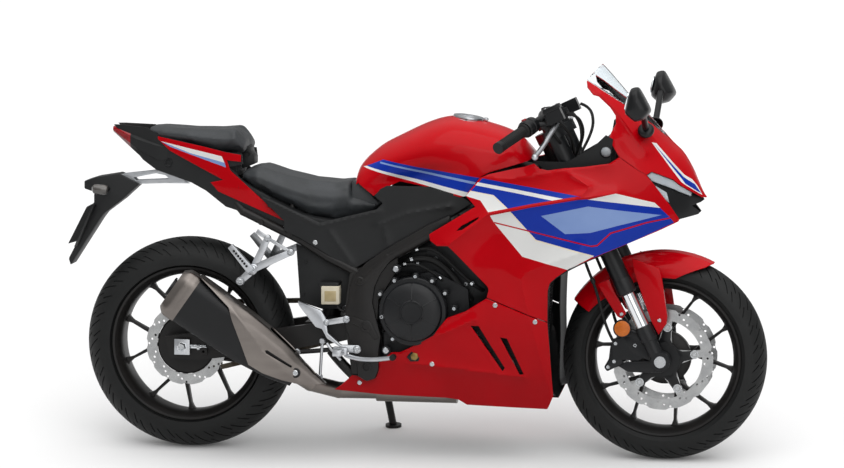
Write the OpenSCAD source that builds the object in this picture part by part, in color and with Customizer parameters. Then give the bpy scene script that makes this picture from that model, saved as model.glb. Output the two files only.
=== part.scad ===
// Sport bike parked on its side stand, as an assembly of separate pieces.
// The pieces are built upright in the bike's own frame: +X forward, +Y left, +Z up, the floor at z = 0 and
// the origin half way between the axles. parked() then leans the whole bike onto its stand.
// Places in the side view are shares of the wheelbase and of the height, so that they move together.
// Places on the swingarm and on the fork run along those pieces, so that they follow the axles.

/* [Overall] */
// Distance between the two axles
wheelbase = 1410; // [1380:5:1440]
// Height of the screen's top edge, which scales the side view's places
height = 1150; // [1130:5:1180]
// Lean onto the side stand, degrees
lean = 7.5; // [6.5:0.5:8]

/* [Wheels] */
// Outer radius of the front tyre
front_r = 300; // [294:1:304]
// Width of the front tyre
front_w = 120; // [110:2:124]
// Outer radius of the rear tyre
rear_r = 312; // [306:1:316]
// Width of the rear tyre
rear_w = 160; // [150:2:164]
// Radius of the bead seat on both rims
rim_r = 216; // [212:1:218]
// Pairs of spokes in each wheel
spoke_pairs = 5; // [4:1:6]
// Radius of both axles
axle_r = 10; // [8:0.5:11]

/* [Fork] */
// Rake of the steering axis, degrees
rake = 25.5; // [25:0.25:26]
// Distance along the floor from the steering axis to the front axle
trail = 102; // [98:1:106]
// Half the distance between the fork legs
fork_half = 105; // [103:1:108]
// Radius of the fork's black outer tubes
outer_r = 27; // [25:0.5:28]
// Radius of the fork's bright inner tubes
inner_r = 20.5; // [19:0.5:21.5]
// Half the width over the grips
bar_half = 345; // [330:5:355]

/* [Brakes] */
// Radius of the front discs
front_disc_r = 148; // [144:1:150]
// Radius of the rear disc
rear_disc_r = 120; // [114:1:122]
// Thickness of the discs
disc_t = 4.5; // [4:0.5:5]
// Waves around each disc's edge
disc_waves = 12; // [10:1:14]

/* [Drive] */
// Teeth on the rear sprocket
rear_teeth = 41; // [38:1:42]
// Pitch of the chain
chain_pitch = 15.875; // [15.875]

/* [Bodywork] */
// Thickness of the plastic panels
panel_t = 4; // [3:0.5:5]
// Greatest half width of the fairing
fairing_half = 232; // [228:1:238]
// Greatest half width of the tank
tank_half = 155; // [148:1:160]
// Greatest half width of the seats
seat_half = 130; // [120:1:135]

/* [Hidden] */
$fa = 5;
$fs = 1;
// Overrun of every cut, and a length that reaches past the whole bike from any of its cuts
cut_over = 20;
far_out = 600;
// Clearances: of a seated piece, of a turning bore, of two panel edges, of a lid, between two panels
seat_gap = 0.3;
run_gap = 0.05;
edge_gap = 0.6;
cap_room = 0.6;
panel_gap = 1.2;
// Depth that two shapes of one piece reach into each other
weld = 0.6;
// How far a spoke, an arm or a web reaches in towards the middle of what carries it
root_share = 0.6;

// Places. spot() puts a share of the side view at a sideways place, flat() makes an outline of shares, and
// path() follows rows of three shares: of the wheelbase, of the height and of a half width.
function spot(share, y) = [share[0] * wheelbase, y, share[1] * height];
function flat(shares) = [for (s = shares) [s[0] * wheelbase, s[1] * height]];
function path(shares, half) = [for (s = shares) [s[0] * wheelbase, s[2] * half, s[1] * height]];
function held(list, i) = list[max(0, min(len(list) - 1, i))];
function cubic(a, b, c, d, t) =
    0.5 * (2 * b + (c - a) * t + (2 * a - 5 * b + 4 * c - d) * t * t + (3 * b - a - 3 * c + d) * t * t * t);
function along(list, u) =
    let (s = u * (len(list) - 1), i = min(floor(s), len(list) - 2))
    cubic(held(list, i - 1), held(list, i), held(list, i + 1), held(list, i + 2), s - i);
function over(table, u, v) = along([for (row = table) along(row, v)], u);

front_axle_x = wheelbase / 2;
rear_axle_x = -wheelbase / 2;
steer_foot = front_axle_x + trail;
axle_s = trail * sin(rake) + front_r * cos(rake);
axle_u = front_r * sin(rake) - trail * cos(rake);
stance_lift = rear_w / 2 * (1 - cos(lean));
// The box's middle: half way from the plate's foot to the front tyre, and under the mirrors' outer tips.
plate_shares = [[-0.73, 0.69], [-0.735, 0.69], [-0.76, 0.47], [-0.755, 0.47]];
mirror_tip_share = [0.465, 0.925];
middle_x = (front_axle_x + front_r + plate_shares[2][0] * wheelbase) / 2;
middle_y = mirror_tip_share[1] * height * sin(lean);

module parked() {
    translate([-middle_x, -middle_y, stance_lift]) rotate([-lean, 0, 0]) children();
}
module both() {
    children();
    mirror([0, 1, 0]) children();
}
module right() {
    mirror([0, 1, 0]) children();
}
module at_front_axle() {
    translate([front_axle_x, 0, front_r]) children();
}
module at_rear_axle() {
    translate([rear_axle_x, 0, rear_r]) children();
}
// Frame of the steered parts: z runs up the steering axis from the floor, x points forward across it.
module on_fork() {
    translate([steer_foot, 0, 0]) rotate([0, -rake, 0]) children();
}
function axis_spot(s) = [steer_foot - s * sin(rake), 0, s * cos(rake)];
module slab(outline, y0, y1) {
    translate([0, y1, 0]) rotate([90, 0, 0]) linear_extrude(y1 - y0) polygon(outline);
}
module barrel(y0, y1, r) {
    translate([0, y1, 0]) rotate([90, 0, 0]) cylinder(r = r, h = y1 - y0);
}
module rod(a, b, r) {
    d = b - a;
    translate(a) rotate([0, acos(d[2] / norm(d)), atan2(d[1], d[0])]) cylinder(r = r, h = norm(d));
}
module pipe(points, r) {
    for (i = [0 : len(points) - 2]) rod(points[i], points[i + 1], r);
    for (i = [1 : len(points) - 2]) translate(points[i]) sphere(r + weld);
}
// A closed skin over a row of section loops of equal length, each loop anticlockwise seen from +X.
module skin(loops) {
    n = len(loops[0]);
    m = len(loops);
    faces = [
        for (i = [0 : m - 2], j = [0 : n - 1]) each [
            [i * n + j, (i + 1) * n + (j + 1) % n, i * n + (j + 1) % n],
            [i * n + j, (i + 1) * n + j, (i + 1) * n + (j + 1) % n]],
        for (j = [1 : n - 2]) each [[0, j, j + 1], [(m - 1) * n, (m - 1) * n + j + 1, (m - 1) * n + j]]];
    polyhedron(points = [for (l = loops) each l], faces = faces);
}
// A section loop from its right half: shares of the half width and of the height, bottom to top.
function loop(x, low, high, half, shares) = concat(
    [for (s = shares) [x, s[0] * half, low + s[1] * (high - low)]],
    [for (i = [len(shares) - 1 : -1 : 0]) if (shares[i][0] > 0)
        [x, -shares[i][0] * half, low + shares[i][1] * (high - low)]]);
// A body lofted over rows of [x, low, high, half width] shares, smoothed between the rows.
module body(row_shares, half, section_shares, steps) {
    skin([for (k = [0 : steps]) let (r = along(row_shares, k / steps))
        loop(r[0] * wheelbase, r[1] * height, r[2] * height, r[3] * half, section_shares)]);
}
// A curved sheet on the left side: a table of half widths over a box of the side view, panel_t thick.
module sheet(half_shares, low_share, high_share, half, steps) {
    nx = steps[0];
    nz = steps[1];
    w = nz + 1;
    n = (nx + 1) * w;
    low = [low_share[0] * wheelbase, low_share[1] * height];
    size = [high_share[0] * wheelbase, high_share[1] * height] - low;
    points = [for (inset = [0, panel_t], i = [0 : nx], j = [0 : nz])
        [low[0] + size[0] * i / nx, over(half_shares, i / nx, j / nz) * half - inset,
            low[1] + size[1] * j / nz]];
    quads = [
        for (i = [0 : nx - 1], j = [0 : nz - 1]) each [
            [i * w + j, (i + 1) * w + j, (i + 1) * w + j + 1, i * w + j + 1],
            [n + i * w + j, n + i * w + j + 1, n + (i + 1) * w + j + 1, n + (i + 1) * w + j]],
        for (i = [0 : nx - 1]) each [
            [i * w, n + i * w, n + (i + 1) * w, (i + 1) * w],
            [i * w + nz, (i + 1) * w + nz, n + (i + 1) * w + nz, n + i * w + nz]],
        for (j = [0 : nz - 1]) each [
            [j, j + 1, n + j + 1, n + j],
            [nx * w + j, n + nx * w + j, n + nx * w + j + 1, nx * w + j + 1]]];
    polyhedron(points = points, faces = [for (q = quads) each [[q[0], q[1], q[2]], [q[0], q[2], q[3]]]]);
}

// Wheels: a tyre with its bead between the rim's lips, a cast rim with pairs of nearly parallel spokes.
bead_share = 0.76;
tyre_wall = 13;
lip_high = 12;
lip_t = 6;
rim_t = 13;
spoke_t = 7;
spoke_foot = 15;
spoke_depth = 30;
spoke_spread = 18;
spoke_turn = 11;
front_turn = 27;
rear_turn = 72;
front_hub_r = 40;
rear_hub_r = 55;
rear_hub_half = 70;
hub_web_r = 78;
module tyre_section(r, w, inset) {
    bead = w / 2 * bead_share - inset;
    intersection() {
        translate([r - w / 2, 0]) circle(w / 2 - inset);
        polygon([[0, -bead], [rim_r + lip_high, -bead], [r - w / 2 + lip_high, inset - w / 2],
            [r, inset - w / 2],
            [r, w / 2 - inset], [r - w / 2 + lip_high, w / 2 - inset], [rim_r + lip_high, bead], [0, bead]]);
    }
}
module tyre(r, w) {
    rotate([90, 0, 0]) rotate_extrude() difference() {
        tyre_section(r, w, 0);
        tyre_section(r, w, tyre_wall);
        translate([0, -w]) square([rim_r + seat_gap, 2 * w]);
    }
}
// The children are what the hub also carries, before the bore is cut through all of it.
module cast_wheel(w, hub_r, hub_half, turn) {
    bead = w / 2 * bead_share;
    lip = bead + seat_gap + lip_t;
    root = hub_web_r * root_share - rim_r;
    difference() {
        union() {
            rotate([90, turn, 0]) {
                rotate_extrude() difference() {
                    translate([rim_r - rim_t, -lip]) square([rim_t + lip_high - seat_gap, 2 * lip]);
                    translate([rim_r, -bead - seat_gap]) square([lip_high + cut_over, 2 * (bead + seat_gap)]);
                }
                translate([0, 0, -spoke_depth / 2]) linear_extrude(spoke_depth) {
                    circle(hub_web_r);
                    for (i = [0 : spoke_pairs - 1], side = [-1, 1])
                        rotate(i * 360 / spoke_pairs + side * spoke_spread) translate([rim_r - rim_t, 0])
                            rotate(-side * spoke_turn) polygon([[rim_t * root_share, -spoke_foot],
                                [rim_t * root_share, spoke_foot], [-spoke_foot, spoke_t / 2], [root, spoke_t],
                                [root, -spoke_t], [-spoke_foot, -spoke_t / 2]]);
                }
            }
            barrel(-hub_half, hub_half, hub_r);
            children();
        }
        barrel(-far_out, far_out, axle_r + run_gap);
    }
}
module front_tyre() color([0.07, 0.07, 0.07]) parked() at_front_axle() tyre(front_r, front_w);
module rear_tyre() color([0.07, 0.07, 0.07]) parked() at_rear_axle() tyre(rear_r, rear_w);

// Brake discs: wavy edge, drilled ring, tabs inwards to the carrier's bobbins.
front_disc_y = 62;
front_ring_in = 116;
rear_disc_y = 86;
rear_ring_in = 88;
wave_r = 30;
wave_depth = 4;
hole_r = 3.5;
hole_rows = 3;
bobbin_at = 95;
bobbin_r = 11;
bobbin_t = 11;
carrier_r = 52;
carrier_t = 7;
carrier_arms = 5;
disc_turn = -10;
front_hub_half = front_disc_y - carrier_t / 2 - seat_gap;
module ring(r, inside) {
    difference() {
        circle(r);
        circle(inside);
        for (i = [0 : disc_waves - 1]) rotate(i * 360 / disc_waves) {
            translate([r + wave_r - wave_depth, 0]) circle(wave_r);
            for (k = [1 : hole_rows]) rotate((k + 1) * 360 / disc_waves / (hole_rows + 1))
                translate([inside + (r - inside) * k / (hole_rows + 1), 0]) circle(hole_r);
        }
    }
}
module front_disc() {
    translate([0, front_disc_y, 0]) rotate([90, 0, 0]) {
        translate([0, 0, -disc_t / 2]) linear_extrude(disc_t) {
            ring(front_disc_r, front_ring_in);
            for (i = [0 : carrier_arms - 1]) rotate(i * 360 / carrier_arms) translate([bobbin_at, -bobbin_r])
                square([front_ring_in - bobbin_at + bobbin_r / 2, 2 * bobbin_r]);
        }
        translate([0, 0, -carrier_t / 2]) linear_extrude(carrier_t) difference() {
            union() {
                circle(carrier_r);
                for (i = [0 : carrier_arms - 1]) rotate(i * 360 / carrier_arms)
                    polygon([[0, -carrier_r * root_share], [bobbin_at, -bobbin_r], [bobbin_at, bobbin_r],
                        [0, carrier_r * root_share]]);
            }
            circle(axle_r + panel_gap);
        }
        for (i = [0 : carrier_arms - 1]) rotate(i * 360 / carrier_arms)
            translate([bobbin_at, 0, -bobbin_t / 2])
            cylinder(r = bobbin_r, h = bobbin_t);
    }
}
module front_wheel() color([0.12, 0.12, 0.13]) parked() at_front_axle()
    cast_wheel(front_w, front_hub_r, front_hub_half, front_turn);
module front_discs() color([0.7, 0.71, 0.73]) parked() at_front_axle() both() rotate([0, disc_turn, 0])
    front_disc();
module rear_disc() color([0.7, 0.71, 0.73]) parked() at_rear_axle()
    translate([0, disc_t / 2 - rear_disc_y, 0])
    rotate([90, 0, 0]) linear_extrude(disc_t) ring(rear_disc_r, rear_ring_in);
module rear_wheel() color([0.12, 0.12, 0.13]) parked() at_rear_axle()
    cast_wheel(rear_w, rear_hub_r, rear_hub_half, rear_turn) {
        barrel(-rear_disc_y - disc_t / 2, -rear_hub_half + lip_t, rear_ring_in - seat_gap);
        barrel(rear_hub_half - lip_t, chain_y - sprocket_t / 2 - seat_gap, rear_hub_r + rim_t);
    }

// Drive: the rear sprocket, and the chain as one closed loop of side plates with rollers in its runs.
chain_y = 98;
sprocket_t = 6;
tooth_high = 8;
tooth_shares = [[0.15, -0.5], [0.4, 0.5], [0.6, 0.5], [0.85, -0.5]];
chain_half = 7;
chain_inner = 3.6;
chain_side = 7;
roller_r = 4.5;
front_teeth = 15;
run_count = 8;
drive_spot_share = [-0.065, 0.35];
function pitch_r(teeth) = chain_pitch / 2 / sin(180 / teeth);
drive_dx = drive_spot_share[0] * wheelbase - rear_axle_x;
drive_dz = drive_spot_share[1] * height - rear_r;
drive_gap = norm([drive_dx, drive_dz]);
drive_tilt = atan2(drive_dz, drive_dx);
run_tilt = asin((pitch_r(rear_teeth) - pitch_r(front_teeth)) / drive_gap);
module rear_sprocket() color([0.35, 0.35, 0.36]) parked() at_rear_axle() {
    r = pitch_r(rear_teeth);
    translate([0, chain_y + sprocket_t / 2, 0]) rotate([90, 0, 0]) linear_extrude(sprocket_t) difference() {
        polygon([for (i = [0 : rear_teeth - 1], k = tooth_shares)
            let (a = (i + k[0]) * 360 / rear_teeth) (r + k[1] * tooth_high) * [cos(a), sin(a)]]);
        circle(axle_r + run_gap);
        for (i = [0 : spoke_pairs - 1]) rotate(i * 360 / spoke_pairs) translate([r - 2 * rim_t, 0])
            circle(rim_t);
    }
}
// The loop's outline, as the chain's own links bend: around the rear sprocket, then around the front one.
function loop_line(grow) = let (touch = 90 - run_tilt) concat(
    [for (i = [0 : rear_teeth]) let (a = touch + (360 - 2 * touch) * i / rear_teeth)
        (pitch_r(rear_teeth) + grow) * [cos(a), sin(a)]],
    [for (i = [0 : front_teeth]) let (a = touch * (2 * i / front_teeth - 1))
        [drive_gap, 0] + (pitch_r(front_teeth) + grow) * [cos(a), sin(a)]]);
module chain() color([0.3, 0.28, 0.24]) parked() at_rear_axle() translate([0, chain_y, 0]) rotate([90, 0, 0])
    rotate(drive_tilt) {
        for (z = [-chain_side, chain_inner]) translate([0, 0, z]) linear_extrude(chain_side - chain_inner)
            difference() {
                polygon(loop_line(chain_half));
                polygon(loop_line(-chain_half));
            }
        for (side = [-1, 1], k = [2 : run_count - 2]) {
            foot = pitch_r(rear_teeth) * [sin(run_tilt), side * cos(run_tilt)];
            head = [drive_gap, 0] + pitch_r(front_teeth) * [sin(run_tilt), side * cos(run_tilt)];
            p = foot + (head - foot) * k / run_count;
            translate([p[0], p[1], -chain_inner - weld]) cylinder(r = roller_r, h = 2 * (chain_inner + weld));
        }
    }

// Swingarm, rear axle and shock. Places on the arm are shares of its length from the axle, and of its depth.
pivot_spot_share = [-0.11, 0.335];
arm_high = 60;
arm_in = 110;
arm_out = 138;
pivot_r = 20;
pivot_boss_r = 32;
arm_run = spot(pivot_spot_share, 0) - [rear_axle_x, 0, rear_r];
arm_long = norm(arm_run);
arm_tilt = atan2(arm_run[2], arm_run[0]);
arm_shares = [[1.01, 0.5], [1, -0.5], [0.5, -0.75], [0.07, -0.75], [-0.08, -0.5], [-0.09, 0.6], [0.06, 0.6],
    [0.52, 0.35]];
brace_shares = [[0.65, -0.25], [0.66, 0.5], [0.86, 0.45], [0.85, -0.4]];
axle_end = 152;
nut_r = 17;
nut_t = 10;
boss_r = 12;
boss_out = 12;
boss_hole_r = 4;
boss_hole_deep = 18;
boss_spot_share = [0.11, -0.35];
function arm_flat(shares) = [for (s = shares) [s[0] * arm_long, s[1] * arm_high]];
function arm_spot(share) = [share[0] * arm_long, 0, share[1] * arm_high];
function arm_place(share) = [rear_axle_x, 0, rear_r] + share[0] * arm_run
    + share[1] * arm_high * [-sin(arm_tilt), 0, cos(arm_tilt)];
module on_arm() {
    at_rear_axle() rotate([0, -arm_tilt, 0]) children();
}
module swingarm() color([0.13, 0.13, 0.14]) parked() on_arm() difference() {
    union() {
        both() slab(arm_flat(arm_shares), arm_in, arm_out);
        slab(arm_flat(brace_shares), -arm_in - weld, arm_in + weld);
        translate([arm_long, 0, 0]) barrel(-arm_out, arm_out, pivot_r);
        both() translate([arm_long, 0, 0]) barrel(arm_in, plate_in - seat_gap, pivot_boss_r);
        both() translate(arm_spot(boss_spot_share)) barrel(arm_out - weld, arm_out + boss_out, boss_r);
    }
    barrel(-far_out, far_out, axle_r + seat_gap);
    both() translate(arm_spot(boss_spot_share))
        barrel(arm_out + boss_out - boss_hole_deep, far_out, boss_hole_r);
}
module rear_axle() color([0.72, 0.72, 0.74]) parked() at_rear_axle() {
    barrel(-axle_end, axle_end, axle_r);
    both() barrel(arm_out + seat_gap, arm_out + nut_t, nut_r);
}
shock_low_share = [0.755, 0.25];
shock_high_share = [-0.17, 0.53];
shock_r = 28;
module rear_shock() color([0.55, 0.1, 0.1]) parked() difference() {
    rod(arm_place(shock_low_share), spot(shock_high_share, 0), shock_r);
    translate([0, 0, seat_gap]) on_arm() slab(arm_flat(brace_shares), -arm_in, arm_in);
    rod(spot(cross_shares[0], -plate_in), spot(cross_shares[0], plate_in), tube_r + seat_gap);
}

// Frame: one welded tube frame with the head pipe, pivot plates, seat rails and the stay for the nose.
tube_r = 19;
rail_r = 13;
frame_half = 150;
plate_in = 142;
plate_out = 160;
spar_root_share = 0.82;
spar_root_y = 14;
spar_shares = [[0.185, 0.69, 0.39], [0.105, 0.64, 0.77], [0.025, 0.58, 0.99], [-0.065, 0.515, 1],
    [-0.12, 0.45, 1]];
rail_shares = [[-0.065, 0.52, 0.93], [-0.215, 0.57, 0.75], [-0.3, 0.625, 0.69], [-0.4, 0.675, 0.6],
    [-0.47, 0.685, 0.5]];
low_rail_shares = [[-0.125, 0.47, 1], [-0.195, 0.51, 0.92], [-0.25, 0.55, 0.87], [-0.375, 0.62, 0.79],
    [-0.405, 0.655, 0.61]];
pivot_plate_shares = [[-0.145, 0.47], [-0.105, 0.5], [-0.045, 0.52], [-0.045, 0.485], [-0.085, 0.405],
    [-0.09, 0.285], [-0.1, 0.21], [-0.14, 0.215], [-0.15, 0.3], [-0.155, 0.38]];
cross_shares = [[-0.17, 0.54], [0.015, 0.6]];
head_low_share = 0.77;
head_high_share = 0.89;
head_low = head_low_share * height;
head_high = head_high_share * height;
head_r = 34;
head_bore_r = 25;
stay_share = 0.825;
stay_r = 12;
stay_end_share = [0.45, 0.72];
stay_half = 98;
lug_r = 8;
fairing_lug_share = [0.08, 0.62];
fairing_lug_out = 185;
peg_lug_shares = [[-0.275, 0.565], [-0.335, 0.595]];
cover_lug_shares = [[-0.015, 0.555], [-0.015, 0.6]];
reservoir_lug_share = [-0.15, 0.41];
stand_lug_share = [-0.12, 0.23];
tank_post_shares = [[0.095, 0.645, 0.75], [0.085, 0.7, 0.65]];
tail_post_shares = [[-0.455, 0.685, 0.52], [-0.455, 0.725, 0.52]];
module frame_posts(post_shares, r) {
    ends = path(post_shares, frame_half);
    both() rod(ends[0], ends[1], r);
}
module frame() color([0.09, 0.09, 0.1]) parked() difference() {
    union() {
        both() {
            pipe(concat([axis_spot(spar_root_share * height) + [0, spar_root_y, 0]],
                path(spar_shares, frame_half)),
                tube_r);
            pipe(path(rail_shares, frame_half), rail_r);
            pipe(path(low_rail_shares, frame_half), rail_r);
            slab(flat(pivot_plate_shares), plate_in, plate_out);
            rod(spot(fairing_lug_share, plate_in - tube_r), spot(fairing_lug_share, fairing_lug_out), lug_r);
            rod(spot(cover_lug_shares[0], cover_in - lug_r - seat_gap),
                spot(cover_lug_shares[1], cover_in - lug_r - seat_gap), lug_r);
            for (p = peg_lug_shares) rod(spot(p, plate_in - 2 * tube_r), spot(p, hanger_in - seat_gap),
                lug_r);
        }
        frame_posts(tank_post_shares, lug_r);
        frame_posts(tail_post_shares, lug_r);
        frame_posts(seat_post_shares, lug_r);
        radiator_hangers(lug_r);
        lamp_pegs(lug_r);
        instrument_post(lug_r);
        rod(stand_root - stand_out * stand_pivot_r, stand_root, stand_pivot_r);
        rod(spot(cross_shares[0], -plate_in), spot(cross_shares[0], plate_in), tube_r);
        rod(spot(cross_shares[1], -plate_in), spot(cross_shares[1], plate_in), rail_r);
        on_fork() translate([0, 0, head_low]) cylinder(r = head_r, h = head_high - head_low);
        rod(axis_spot(stay_share * height), spot(stay_end_share, 0), stay_r);
        rod(spot(stay_end_share, -stay_half), spot(stay_end_share, stay_half), stay_r);
    }
    on_fork() translate([0, 0, head_low - cut_over])
        cylinder(r = head_bore_r, h = head_high - head_low + 2 * cut_over);
    both() translate(spot(pivot_spot_share, 0)) barrel(plate_in - cut_over, far_out, axle_r);
}

// Engine: one plain block in its real place, its round covers beside it.
core_half = 78;
case_half = 140;
head_half = 112;
core_shares = [[-0.09, 0.215], [-0.09, 0.415], [-0.07, 0.5], [0.03, 0.5], [0.105, 0.435], [0.115, 0.285],
    [0.085, 0.19], [-0.065, 0.19]];
case_left_shares = [[-0.03, 0.215], [-0.03, 0.45], [0.03, 0.48], [0.1, 0.435], [0.11, 0.285], [0.08, 0.205]];
case_right_shares = [[-0.075, 0.23], [-0.075, 0.45], [0.03, 0.48], [0.1, 0.435], [0.11, 0.285],
    [0.08, 0.205]];
cylinder_shares = [[-0.005, 0.485], [0.03, 0.575], [0.115, 0.61], [0.15, 0.555], [0.105, 0.415]];
mount_lug_share = [-0.07, 0.475];
belly_lug_share = [0.08, 0.26];
belly_lug_out = 172;
sprocket_tip_r = 42;
clutch_spot_share = [-0.01, 0.38];
clutch_r = 97;
clutch_out = 215;
generator_spot_share = [0.02, 0.37];
generator_r = 84;
generator_out = 196;
cover_step_shares = [[1, 0.3], [0.94, 0.45], [0.7, 0.62], [0.42, 1]];
module engine() color([0.14, 0.14, 0.15]) parked() {
    slab(flat(core_shares), -core_half, core_half);
    slab(flat(case_left_shares), core_half - weld, case_half);
    slab(flat(case_right_shares), -case_half, weld - core_half);
    slab(flat(cylinder_shares), -head_half, head_half);
    both() rod(spot(mount_lug_share, core_half - lug_r), spot(mount_lug_share, plate_in - seat_gap), lug_r);
    both() rod(spot(belly_lug_share, case_half - lug_r), spot(belly_lug_share, belly_lug_out), lug_r);
    translate(spot(drive_spot_share, 0))
        barrel(chain_y - sprocket_t / 2, chain_y + sprocket_t / 2, sprocket_tip_r);
    translate(spot(drive_spot_share, 0)) barrel(core_half - weld, chain_y + sprocket_t, axle_r);
}
module stepped_cover(r, out) {
    for (k = cover_step_shares) barrel(case_half + seat_gap, case_half + (out - case_half) * k[1], r * k[0]);
}
module engine_covers() color([0.1, 0.1, 0.11]) parked() {
    right() translate(spot(clutch_spot_share, 0)) stepped_cover(clutch_r, clutch_out);
    translate(spot(generator_spot_share, 0)) stepped_cover(generator_r, generator_out);
}

// Exhaust: two headers into a collector, a link pipe, the muffler and its shield.
header_shares = [[0.145, 0.53, 1], [0.185, 0.485, 1], [0.19, 0.285, 0.92], [0.16, 0.185, 0.8],
    [0.085, 0.155, 0.58], [0.045, 0.155, 0.38]];
header_half = 52;
header_r = 18;
collector_shares = [[0.065, 0.155, 0], [-0.105, 0.155, 0]];
collector_r = 32;
link_shares = [[-0.1, 0.155, -0.03], [-0.18, 0.16, -0.3], [-0.23, 0.185, -0.7], [-0.27, 0.225, -1]];
link_half = 188;
link_r = 24;
muffler_foot_share = [-0.265, 0.22];
muffler_foot_y = -182;
muffler_tip_share = [-0.51, 0.43];
muffler_tip_y = -222;
muffler_section_shares = [[-0.5, -0.32], [-0.32, -0.5], [0.2, -0.5], [0.5, -0.3], [0.5, 0.3], [0.25, 0.5],
    [-0.36, 0.5], [-0.5, 0.34]];
muffler_row_shares = [[0, 0.52], [0.16, 0.74], [0.42, 0.92], [1, 1]];
muffler_high = 150;
muffler_wide = 104;
shield_t = 3;
shield_from_share = 0.1;
shield_to_share = 0.5;
shield_edge_share = 0.1;
muffler_run = spot(muffler_tip_share, muffler_tip_y) - spot(muffler_foot_share, muffler_foot_y);
module on_muffler() {
    translate(spot(muffler_foot_share, muffler_foot_y))
        rotate([0, 0, atan2(muffler_run[1], muffler_run[0])])
            rotate([0, -asin(muffler_run[2] / norm(muffler_run)), 0]) children();
}
function muffler_loop(share, grow) =
    let (k = lookup(share, muffler_row_shares))
    [for (p = muffler_section_shares) [share * norm(muffler_run), p[0] * (muffler_wide * k + 2 * grow),
        p[1] * (muffler_high * k + 2 * grow)]];
module exhaust() color([0.5, 0.49, 0.47]) parked() {
    both() difference() {
        pipe(path(header_shares, header_half), header_r);
        translate([seat_gap, 0, 0]) slab(flat(cylinder_shares), -head_half, head_half);
    }
    pipe(path(collector_shares, link_half), collector_r);
    difference() {
        pipe(path(link_shares, link_half), link_r);
        on_muffler() translate([-seat_gap, -far_out / 2, -far_out / 2]) cube(far_out);
    }
}
module muffler() color([0.11, 0.11, 0.12]) parked() on_muffler() difference() {
    skin([for (r = muffler_row_shares) muffler_loop(r[0], 0)]);
    translate([norm(muffler_run) - cut_over, 0, 0]) rotate([0, 90, 0]) cylinder(r = link_r, h = 2 * cut_over);
}
module muffler_shield() color([0.6, 0.59, 0.57]) parked() on_muffler() difference() {
    skin([for (u = [shield_from_share, muffler_row_shares[1][0], muffler_row_shares[2][0], shield_to_share])
        muffler_loop(u, shield_t + seat_gap)]);
    skin([for (u = [0, shield_from_share, muffler_row_shares[1][0], muffler_row_shares[2][0],
        shield_to_share, 1])
        muffler_loop(u, seat_gap)]);
    translate([-cut_over, muffler_wide * shield_edge_share - far_out, -far_out / 2]) cube(far_out);
}

// Radiator, hung from the frame's spars in front of the cylinder head.
radiator_shares = [[0.215, 0.285], [0.235, 0.555], [0.255, 0.555], [0.24, 0.285]];
radiator_half = 168;
hanger_top_share = [0.185, 0.69];
hanger_end_share = [0.24, 0.54];
hanger_side = 58;
module radiator_hangers(r) {
    both() rod(spot(hanger_top_share, hanger_side), spot(hanger_end_share, hanger_side), r);
}
module radiator() color([0.08, 0.08, 0.09]) parked() difference() {
    slab(flat(radiator_shares), -radiator_half, radiator_half);
    radiator_hangers(lug_r + seat_gap);
}

// Tank and seats, lofted along the bike and set on the frame's posts.
tank_section_shares = [[0, 0], [0.78, 0], [1, 0.14], [1, 0.38], [0.9, 0.64], [0.68, 0.86], [0.36, 0.97],
    [0, 1]];
tank_row_shares = [[-0.145, 0.665, 0.69, 0.45], [-0.135, 0.665, 0.74, 0.61], [-0.1, 0.665, 0.785, 0.74],
    [-0.055, 0.67, 0.82, 0.87], [0.005, 0.67, 0.85, 0.97], [0.05, 0.675, 0.865, 1],
        [0.095, 0.68, 0.865, 0.98],
    [0.14, 0.715, 0.845, 0.89], [0.185, 0.745, 0.825, 0.76], [0.22, 0.77, 0.785, 0.45]];
tank_steps = 18;
cap_spot_share = [0.085, 0.86];
cap_tilt = 8;
cap_r = 46;
cap_t = 9;
cap_neck_r = 34;
cap_neck = 16;
cap_side = 9;
cap_ring_r = 56;
cap_ring_low = 30;
module on_cap() {
    translate(spot(cap_spot_share, 0)) rotate([0, cap_tilt, 0]) children();
}
module fuel_tank() color([0.75, 0.05, 0.05]) parked() difference() {
    union() {
        body(tank_row_shares, tank_half, tank_section_shares, tank_steps);
        on_cap() translate([0, 0, -cap_ring_low]) cylinder(r = cap_ring_r, h = cap_ring_low);
    }
    on_cap() translate([0, 0, -cap_neck - lip_t]) cylinder(r = cap_neck_r + cap_side, h = far_out);
    on_cap() cylinder(r = cap_ring_r + lip_t, h = far_out);
    frame_posts(tank_post_shares, lug_r + seat_gap);
}
hinge_back = 52;
hinge_up = 5;
hinge_r = 5;
hinge_half = 12;
module fuel_cap() color([0.16, 0.16, 0.17]) parked() on_cap() {
    translate([0, 0, cap_room]) cylinder(r = cap_r, h = cap_t);
    translate([0, 0, -cap_neck]) cylinder(r = cap_neck_r, h = cap_neck + cap_t);
    translate([hinge_back, 0, hinge_up + cap_room]) barrel(-hinge_half, hinge_half, hinge_r);
    translate([0, -hinge_half, cap_room]) cube([hinge_back, 2 * hinge_half, cap_t]);
}
seat_section_shares = [[0, 0], [0.8, 0], [0.94, 0.3], [1, 0.62], [0.9, 0.88], [0.6, 1], [0, 1]];
rider_row_shares = [[-0.385, 0.705, 0.725, 0.75], [-0.35, 0.68, 0.73, 0.94], [-0.3, 0.65, 0.71, 1],
    [-0.24, 0.615, 0.695, 0.96], [-0.185, 0.605, 0.69, 0.86], [-0.155, 0.61, 0.695, 0.8],
    [-0.15, 0.61, 0.66, 0.8], [-0.095, 0.63, 0.655, 0.71]];
passenger_row_shares = [[-0.59, 0.81, 0.825, 0.42], [-0.56, 0.8, 0.825, 0.65], [-0.495, 0.79, 0.82, 0.785],
    [-0.44, 0.775, 0.82, 0.845], [-0.395, 0.77, 0.825, 0.845], [-0.375, 0.765, 0.785, 0.77]];
seat_post_shares = [[-0.275, 0.605, 0.71], [-0.275, 0.655, 0.53]];
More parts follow.
